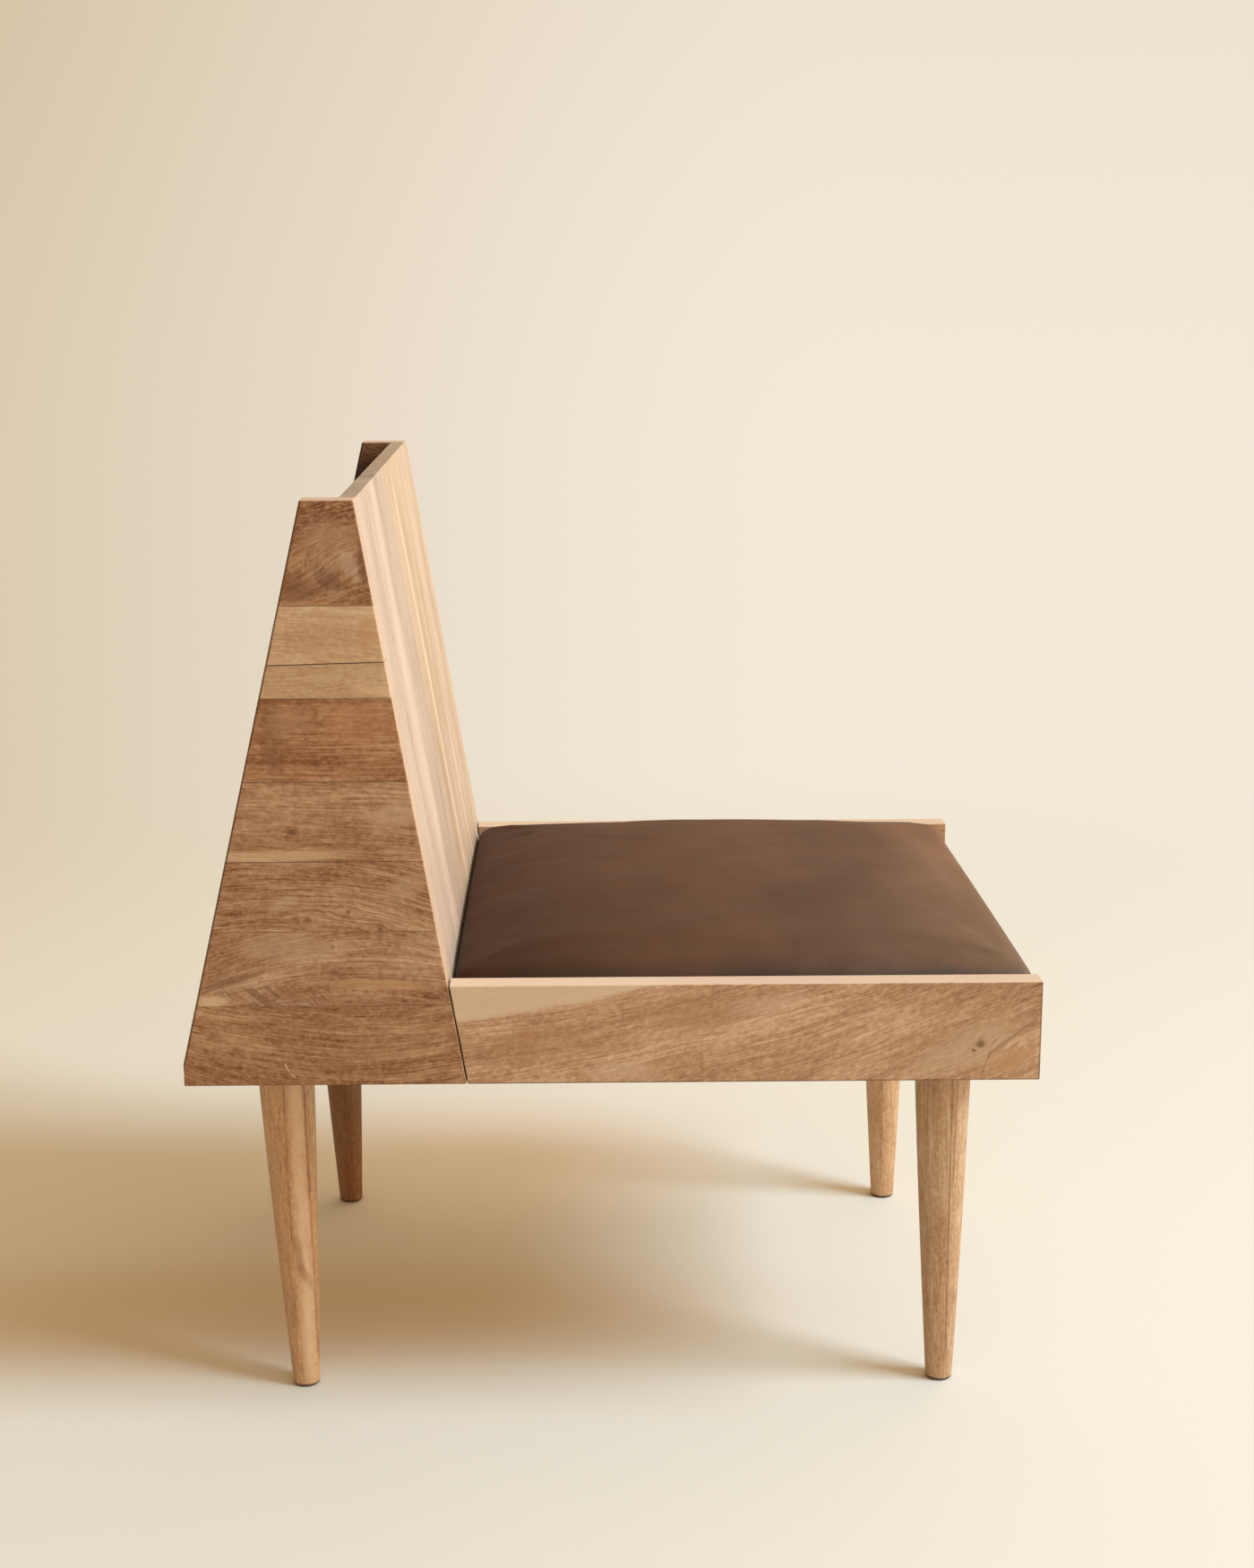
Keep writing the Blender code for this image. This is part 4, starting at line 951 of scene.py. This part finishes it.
@dataclass
class Legs:
    """Four turned legs that taper to a small foot, lean a little and are tenoned into the leg rails."""

    shoulder_height: float = 0.2937
    top_radius: float = 0.0235
    foot_radius: float = 0.01125
    swell: float = 1.2
    tenon_radius: float = 0.013
    foot_round: float = 0.0025
    shoulder_round: float = 0.0012
    rakes: dict[str, float] = field(default_factory=lambda: {"front": 0.004, "rear": 0.009})
    stations: int = 28
    steps: int = 72
    wedge_depth: float = 0.022
    kerf_head: float = 0.0040
    kerf_tip: float = 0.0018

    def profile(self, tenon_top: float) -> list[tuple[float, float]]:
        """Return the outline from the tenon's top to the foot, as radii and heights."""
        top, foot = self.top_radius, self.foot_radius
        points = [(self.tenon_radius - 0.0008, tenon_top), (self.tenon_radius, tenon_top - 0.0008),
                  (self.tenon_radius, self.shoulder_height), (top - self.shoulder_round, self.shoulder_height)]
        for station in range(self.stations + 1):
            fall = station / self.stations
            z = self.shoulder_height - self.shoulder_round
            z += (self.foot_round - z) * fall
            points.append((foot + (top - foot) * (1 - fall ** self.swell), z))
        for step in range(1, 6):
            turn = math.radians(18 * step)
            points.append((foot - self.foot_round * (1 - math.cos(turn)),
                           self.foot_round * (1 - math.sin(turn))))
        return points

    def turned(self, name: str, tenon_top: float) -> bpy.types.Mesh:
        """Return a leg's mesh, turned about its own axis."""
        work = bmesh.new()
        rings = []
        for radius, z in self.profile(tenon_top):
            angles = (2 * math.pi * step / self.steps for step in range(self.steps))
            rings.append([work.verts.new((radius * math.cos(a), radius * math.sin(a), z)) for a in angles])
        for upper, lower in zip(rings, rings[1:]):
            for step in range(self.steps):
                following = (step + 1) % self.steps
                work.faces.new((upper[step], lower[step], lower[following], upper[following]))
        work.faces.new(rings[0])
        work.faces.new(rings[-1][::-1])
        return new_mesh(name, work)

    def kerf(self, tenon_top: float) -> bpy.types.Mesh:
        """Return the cutter for the slot that the tenon's wedge is driven into."""
        work = bmesh.new()
        long = self.tenon_radius + 0.002
        tip_z, head_z = tenon_top - self.wedge_depth - 0.0003, tenon_top + 0.001
        corners = []
        for half, z in ((self.kerf_tip / 2, tip_z), (self.kerf_head / 2, head_z)):
            corners.append([work.verts.new((x, y, z)) for x, y in ((-half, -long), (half, -long),
                                                                     (half, long), (-half, long))])
        work.faces.new(corners[0][::-1])
        work.faces.new(corners[1])
        for side in range(4):
            following = (side + 1) % 4
            work.faces.new((corners[0][side], corners[0][following], corners[1][following], corners[1][side]))
        return new_mesh("kerf", work)

    def woods(self) -> dict[str, Wood]:
        """Return each leg's own wood."""
        dark, pale = (0.180, 0.090, 0.042), (0.620, 0.460, 0.290)
        # The plain wood's late line, a dark ring round the foot's bottom rim, is painted contact shade.
        plain = Wood("leg_wood", (0.449, 0.289, 0.165), Grain.LEG, 90.0, wander=0.004, clouds=0.6, bands=0.35,
                     streaks=0.55, lines=0.5, specks=0.4, flecks=0.20, end=(0.7,) * 3, seams_and_painted_shade=(
                         Score(0.0012, -0.6, 0.0012, 0.6, 0.0018, (0.060, 0.032, 0.018), strength=0.9),))
        return {
            "right_rear": replace(plain, name="streaked_leg", mean=(0.500, 0.301, 0.156), slope=0.030, marks=(
                Score(0.300, 0.2620, -0.01, 0.2570, 0.0062, pale, strength=0.75, soft=1.0),
                Score(0.300, 0.2712, 0.12, 0.2680, 0.0009, dark, strength=0.45, soft=1.0),
                Score(0.310, 0.2545, 0.17, 0.2530, 0.0012, (0.190, 0.090, 0.042), strength=0.75, soft=1.0),
                Score(0.200, 0.2530, 0.02, 0.2508, 0.0009, (0.190, 0.090, 0.042), strength=0.5, soft=1.0),
                Flare(0.120, 0.2625, 0.018, 0.0028, (0.290, 0.145, 0.062), lean=0.12, strength=0.6, soft=0.7),
                Flare(0.106, 0.2595, 0.010, 0.0030, (0.290, 0.145, 0.062), lean=0.4, strength=0.6,
                      soft=0.7))),
            "right_front": replace(plain, name="honey_leg", seed=93.0, slope=0.014, marks=(
                Score(0.300, -0.2800, 0.01, -0.2825, 0.0008, dark, strength=0.7, soft=1.0),
                Score(0.300, -0.2850, 0.18, -0.2840, 0.0008, dark, strength=0.6, soft=1.0))),
            "left_rear": replace(plain, name="far_rear_leg", mean=(0.200, 0.097, 0.041), seed=96.0, slope=0.030),
            "left_front": replace(plain, name="far_front_leg", mean=(0.506, 0.317, 0.174), seed=99.0, slope=0.014),
        }

    def build(self) -> None:
        """Turn the four legs, cut their kerfs, lean them and set them in the CAD legs' places."""
        for corner, wood in self.woods().items():
            node = f"{corner}_leg"
            low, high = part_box(node)
            leg = new_object(f"turned_{node}", self.turned(f"turned_{node}", high.z))
            cutter = new_object("kerf", self.kerf(high.z))
            cut = leg.modifiers.new("kerf", "BOOLEAN")
            cut.operation, cut.solver, cut.object = "DIFFERENCE", "EXACT", cutter
            apply_modifiers(leg)
            bpy.data.objects.remove(cutter)
            shear = Matrix.Identity(4)
            shear[1][2] = self.rakes[corner.split("_")[1]] / self.shoulder_height
            middle = Vector(((low.x + high.x) / 2, (low.y + high.y) / 2, 0))
            drop = Matrix.Translation((0, 0, -self.shoulder_height))
            leg.data.transform(Matrix.Translation(middle) @ drop.inverted() @ shear @ drop)
            self.shade(leg.data)
            leg.data.materials.append(wood.material())
            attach(leg, BODY)
            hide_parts(node)
            LOG.info("%s: %d faces", leg.name, len(leg.data.polygons))

    def shade(self, mesh: bpy.types.Mesh) -> None:
        """Shade the round faces smooth, with sharp edges at the shoulder, the tenon and the kerf."""
        work = bmesh.new()
        work.from_mesh(mesh)
        for face in work.faces:
            face.smooth = True
        for edge in work.edges:
            edge.smooth = len(edge.link_faces) == 2 and edge.calc_face_angle(0.0) < math.radians(40)
        work.to_mesh(mesh)
        work.free()


@dataclass
class SeatPad:
    """The upholstered pad: a leather cover, swollen over foam and turned under its plywood board."""

    cells: int = 6
    crowding: float = 2.6
    shoulder: float = 0.006
    tuck: float = 0.004
    waist_height: float = 0.019
    rim_height: float = 0.042
    crown: float = 0.027
    fullness: float = 0.5
    lip: float = 0.010
    thickness: float = 0.0014
    voxel: float = 0.006
    pressure: float = 4.0
    swell: float = 0.003
    draw_in: float = 0.2
    frames: int = 20
    clear: float = 0.0004
    crease: float = 0.0005
    rear: float = 0.1216
    skew: float = 0.0045
    rear_reach: float = 0.0016
    slope: float = 0.078 / 0.466

    def cage(self) -> bpy.types.Mesh:
        """Return the coarse closed cage of the pad, from its CAD box."""
        low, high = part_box("seat_cover")
        half_x, half_y, middle_y = high.x, (self.rear - low.y) / 2, (self.rear + low.y) / 2
        work = bmesh.new()
        bmesh.ops.create_grid(work, x_segments=self.cells, y_segments=self.cells, size=1.0)
        for vert in work.verts:
            u, v = (math.copysign(1 - (1 - min(abs(part), 1)) ** self.crowding, part) for part in vert.co.xy)
            rise = ((1 - u * u) * (1 - v * v)) ** self.fullness
            vert.co = (u * (half_x - self.shoulder), middle_y + v * (half_y - self.shoulder),
                       low.z + self.rim_height + self.crown * rise)
        foot = self.tuck + self.lip
        for inset, z in ((-(self.shoulder + self.tuck) / 6, low.z + self.waist_height),
                         (self.tuck / 4, low.z + self.waist_height / 3), (self.tuck, low.z), (foot, low.z)):
            rim = [edge for edge in work.edges if edge.is_boundary]
            skirt = bmesh.ops.extrude_edge_only(work, edges=rim)["geom"]
            ring = [item for item in skirt if isinstance(item, bmesh.types.BMVert)]
            reach_x = max(vert.co.x for vert in ring)
            reach_y = max(vert.co.y for vert in ring) - middle_y
            for vert in ring:
                vert.co = (vert.co.x * (half_x - inset) / reach_x,
                           middle_y + (vert.co.y - middle_y) * (half_y - inset) / reach_y, z)
        bmesh.ops.holes_fill(work, edges=[edge for edge in work.edges if edge.is_boundary])
        return new_mesh("seat_pad", work)

    def build(self) -> None:
        """Make the cover, swell it, open it below and dress the pad's three pieces."""
        pad = new_object("leather_seat_pad", self.cage())
        soften = pad.modifiers.new("soften", "SUBSURF")
        soften.levels = soften.render_levels = 3
        remesh = pad.modifiers.new("even", "REMESH")
        remesh.mode, remesh.voxel_size = "VOXEL", self.voxel
        apply_modifiers(pad)
        self.swell_up(pad)
        self.settle(pad.data)
        self.open_below(pad.data)
        shade_smooth(pad.data)
        fine = pad.modifiers.new("fine", "SUBSURF")
        fine.levels = fine.render_levels = 1
        self.fit_foam(pad)
        skin = pad.modifiers.new("skin", "SOLIDIFY")
        skin.thickness, skin.offset = self.thickness, -1
        pad.data.materials.clear()
        pad.data.materials.append(Leather().material())
        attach(pad, BODY)
        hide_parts("seat_cover")
        dress("seat_cover", pad.data.materials[0])
        dress("seat_board", Plywood().material())
        top = max(vert.co.z for vert in pad.data.vertices)
        LOG.info("seat pad: %d faces, top at %.4f m", len(pad.data.polygons), top)

    def fit_foam(self, pad: bpy.types.Object) -> None:
        """Make the foam, which is the CAD foam drawn in where the cover's skin lies closer."""
        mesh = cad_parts["seat_foam"].data.copy()
        cover = evaluated(pad)
        shell = BVHTree.FromPolygons([vert.co for vert in cover.vertices],
                                     [tuple(face.vertices) for face in cover.polygons])
        for vert in mesh.vertices:
            spot, normal, _, _ = shell.find_nearest(vert.co)
            over = (vert.co - spot).dot(normal) + self.thickness + self.clear
            if over > 0:
                vert.co -= normal * over
        mesh.name = "seat_foam_block"
        foam = new_object("seat_foam_block", mesh)
        material = Foam().material()
        foam.data.materials.clear()
        foam.data.materials.append(material)
        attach(foam, BODY)
        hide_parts("seat_foam")
        dress("seat_foam", material)

    def swell_up(self, pad: bpy.types.Object) -> None:
        """Swell the cover with a short cloth simulation, its underside held and its travel capped."""
        low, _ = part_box("seat_cover")
        held = pad.vertex_groups.new(name="held")
        before = [(vert.co.copy(), vert.normal.copy()) for vert in pad.data.vertices]
        for vert in pad.data.vertices:
            share = 1 - min(1.0, max(0.0, (vert.co.z - low.z - 0.004) / 0.012))
            held.add([vert.index], share, "REPLACE")
        cloth = pad.modifiers.new("swell", "CLOTH")
        settings = cloth.settings
        settings.use_pressure = True
        settings.uniform_pressure_force = self.pressure
        settings.vertex_group_mass = "held"
        settings.effector_weights.gravity = 0
        settings.tension_stiffness = settings.compression_stiffness = 20
        settings.bending_stiffness = 2
        settings.mass = 0.3
        cloth.point_cache.frame_start, cloth.point_cache.frame_end = 1, self.frames
        scene = bpy.context.scene
        for number in range(1, self.frames + 1):
            scene.frame_set(number)
        mesh = evaluated(pad)
        pad.modifiers.clear()
        scene.frame_set(1)
        for vert, (start, normal) in zip(mesh.vertices, before):
            move = vert.co - start
            share = 1.0 if move.dot(normal) > 0 else self.draw_in
            vert.co = start + move * share * min(1.0, self.swell / max(move.length, 1e-9))
        pad.vertex_groups.clear()
        pad.data = mesh

    def settle(self, mesh: bpy.types.Mesh) -> None:
        """Keep the cover inside the rails, off the raked back and on its seat, with a few faint creases."""
        low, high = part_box("seat_cover")
        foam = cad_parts["seat_foam"].data
        filling = BVHTree.FromPolygons([vert.co for vert in foam.vertices],
                                       [tuple(face.vertices) for face in foam.polygons])
        for vert in mesh.vertices:
            spot, normal, _, _ = filling.find_nearest(vert.co)
            short = self.thickness + self.clear - (vert.co - spot).dot(normal)
            if short > 0 and vert.co.z > low.z + self.waist_height:
                vert.co += normal * short
            x, y, z = vert.co
            share = min(1.0, max(0.0, (y - low.y) / (self.rear - low.y)))
            height = max(0.0, z - low.z)
            raised = min(1.0, height / self.waist_height)
            y += (self.slope * height + self.rear_reach * raised) * share ** 4
            y += self.skew * x / high.x * raised * (1 - share) ** 4
            ease = min(1.0, max(0.0, (z - low.z - self.rim_height) / 0.012))
            z += self.crease * ease * noise.noise((x * 10, y * 24, 1.7))
            z += self.crease * 0.4 * ease * noise.noise((x * 38 + y * 20, y * 9, 4.2))
            rear = self.rear + self.slope * height + self.rear_reach * raised - self.clear
            vert.co = (max(low.x + self.clear, min(high.x - self.clear, x)),
                       min(rear, y), max(low.z, z))

    def open_below(self, mesh: bpy.types.Mesh) -> None:
        """Remove the underside inside the lip that is turned under the board."""
        low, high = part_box("seat_cover")
        inset = self.tuck + self.lip
        work = bmesh.new()
        work.from_mesh(mesh)
        inner = []
        for face in work.faces:
            middle = face.calc_center_median()
            if (middle.z < low.z + 0.002 and abs(middle.x) < high.x - inset
                    and low.y + inset < middle.y < self.rear - inset):
                inner.append(face)
        bmesh.ops.delete(work, geom=inner, context="FACES")
        work.to_mesh(mesh)
        work.free()


@dataclass
class Screws:
    """The countersunk cross-recessed screws, set by a node tree: cleats, seat board and back battens."""

    head_diameter: float = 0.008
    head_depth: float = 0.0026
    shank_diameter: float = 0.004
    length: float = 0.016
    recess: float = 0.0010
    batten_offset: float = 0.010
    seed: int = 7

    def places(self) -> tuple[list[Vector], list[Vector]]:
        """Return the places of the heads and the ways that they face."""
        spots, aims = [], []
        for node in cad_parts:
            if "_screw_" not in node:
                continue
            low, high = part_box(node)
            middle = (low + high) / 2
            if "cleat" in node:
                facing_recess = -math.copysign(1, middle.x)
                spots.append(Vector((low.x if facing_recess < 0 else high.x, middle.y, middle.z)))
                aims.append(Vector((facing_recess, 0, 0)))
            else:
                spots.append(Vector((middle.x, middle.y, low.z)))
                aims.append(Vector((0, 0, -1)))
        rearward = Vector((0, math.cos(BACK_ANGLE), -math.sin(BACK_ANGLE)))
        upward = Vector((0, math.sin(BACK_ANGLE), math.cos(BACK_ANGLE)))
        for level in ("lower", "upper"):
            low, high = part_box(f"{level}_back_batten")
            face = self.rear_face(f"{level}_back_batten", rearward)
            for number in range(1, 7):
                edge_low, edge_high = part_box(f"back_board_{number}")
                for share in (0.25, 0.75):
                    x = edge_low.x + (edge_high.x - edge_low.x) * share
                    way = 1 if share < 0.5 else -1
                    spots.append(Vector((x, 0, 0)) + face + upward * (self.batten_offset * way))
                    aims.append(rearward)
        return spots, aims

    def rear_face(self, node: str, rearward: Vector) -> Vector:
        """Return the middle of a batten's rear face, on the chair's middle plane."""
        points = [vert.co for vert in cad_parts[node].data.vertices]
        depth = max(point.dot(rearward) for point in points)
        upward = Vector((0, -rearward.z, rearward.y))
        heights = [point.dot(upward) for point in points]
        return rearward * depth + upward * ((min(heights) + max(heights)) / 2)

    def tree(self, material: bpy.types.Material) -> bpy.types.GeometryNodeTree:
        """Build the node tree that puts a screw on each point, facing along the point's aim."""
        tree = bpy.data.node_groups.new("set_screws", "GeometryNodeTree")
        tree.interface.new_socket("Places", in_out="INPUT", socket_type="NodeSocketGeometry")
        for name in ("Head diameter", "Head depth", "Shank diameter", "Length", "Recess width"):
            tree.interface.new_socket(name, in_out="INPUT", socket_type="NodeSocketFloat")
        tree.interface.new_socket("Seed", in_out="INPUT", socket_type="NodeSocketInt")
        tree.interface.new_socket("Screws", in_out="OUTPUT", socket_type="NodeSocketGeometry")
        graph = Graph(tree)
        given = graph.add("NodeGroupInput").outputs
        head_radius = graph.math("MULTIPLY", given["Head diameter"], 0.5)
        radius = graph.math("MULTIPLY", given["Shank diameter"], 0.5)
        head = graph.add("GeometryNodeMeshCone", {"Vertices": 32, "Radius Top": head_radius,
                                                  "Radius Bottom": radius, "Depth": given["Head depth"]})
        shank = graph.add("GeometryNodeMeshCylinder", {"Vertices": 16, "Radius": radius,
                                                       "Depth": given["Length"]})
        sink = graph.math("MULTIPLY", given["Head depth"], -1.0)
        half = graph.math("MULTIPLY", given["Length"], -0.5)
        parts = [self.moved(graph, head.outputs["Mesh"], sink),
                 self.moved(graph, shank.outputs["Mesh"], graph.math("ADD", half, sink))]
        solid = graph.add("GeometryNodeJoinGeometry")
        for part in reversed(parts):
            tree.links.new(part, solid.inputs[0])
        wide = graph.math("MULTIPLY", given["Head diameter"], 0.58)
        bars = []
        for order in ((wide, given["Recess width"]), (given["Recess width"], wide)):
            size = graph.add("ShaderNodeCombineXYZ", {0: order[0], 1: order[1], 2: given["Head depth"]})
            bars.append(graph.add("GeometryNodeMeshCube", {"Size": size.outputs[0]}).outputs["Mesh"])
        cut = graph.add("GeometryNodeMeshBoolean", {"Mesh 1": solid.outputs[0]}, operation="DIFFERENCE")
        for bar in bars:
            tree.links.new(bar, cut.inputs["Mesh 2"])
        points = graph.add("GeometryNodeMeshToPoints", {"Mesh": given["Places"]}).outputs[0]
        aim = graph.add("GeometryNodeInputNamedAttribute", {"Name": "aim"}, data_type="FLOAT_VECTOR")
        facing = graph.add("FunctionNodeAlignRotationToVector", {"Vector": aim.outputs[0]}, axis="Z")
        spin = graph.add("FunctionNodeRandomValue", {"Max": math.pi, "Seed": given["Seed"]})
        spun = graph.add("FunctionNodeAxisAngleToRotation", {"Angle": spin.outputs["Value"]})
        turn = graph.add("FunctionNodeRotateRotation", {0: facing.outputs[0], 1: spun.outputs[0]},
                         rotation_space="LOCAL")
        spread = graph.add("GeometryNodeInstanceOnPoints", {"Points": points, "Instance": cut.outputs["Mesh"],
                                                            "Rotation": turn.outputs[0]})
        real = graph.add("GeometryNodeRealizeInstances", {0: spread.outputs[0]})
        dressed = graph.add("GeometryNodeSetMaterial", {0: real.outputs[0], "Material": material})
        result = graph.add("NodeGroupOutput")
        tree.links.new(dressed.outputs[0], result.inputs[0])
        return tree

    def moved(self, graph: Graph, mesh: Socket, height: Socket) -> Socket:
        """Return a mesh moved along Z inside a node tree."""
        way = graph.add("ShaderNodeCombineXYZ", {2: height}).outputs[0]
        return graph.add("GeometryNodeTransform", {"Geometry": mesh, "Translation": way}).outputs[0]

    def build(self) -> None:
        """Set the screws, make them one plain mesh and put them in the CAD screws' places."""
        spots, aims = self.places()
        mesh = bpy.data.meshes.new("screw_places")
        mesh.from_pydata(spots, [], [])
        facing = mesh.attributes.new("aim", "FLOAT_VECTOR", "POINT")
        facing.data.foreach_set("vector", [part for aim in aims for part in aim])
        steel = Steel().material()
        screws = new_object("countersunk_screws", mesh)
        setter = screws.modifiers.new("set_screws", "NODES")
        setter.node_group = self.tree(steel)
        sizes = {"Head diameter": self.head_diameter, "Head depth": self.head_depth,
                 "Shank diameter": self.shank_diameter, "Length": self.length,
                 "Recess width": self.recess, "Seed": self.seed}
        for item in setter.node_group.interface.items_tree:
            if item.in_out == "INPUT" and item.name in sizes:
                setter[item.identifier] = sizes[item.name]
        apply_modifiers(screws)
        cad = [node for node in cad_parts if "_screw_" in node]
        for node in cad:
            dress(node, steel)
        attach(screws, BODY)
        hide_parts(*cad)
        LOG.info("screws: %d set, %d faces", len(spots), len(screws.data.polygons))


def main() -> None:
    """Build and dress the chair, then the studio and the camera."""
    logging.basicConfig(level=logging.INFO, format="%(name)s: %(message)s")
    SidePanels().dress()
    BackPanel().dress()
    SeatBox().dress()
    Legs().build()
    SeatPad().build()
    Screws().build()
    Studio().build()
    PhotoCamera().build()


if __name__ == "__main__":
    main()
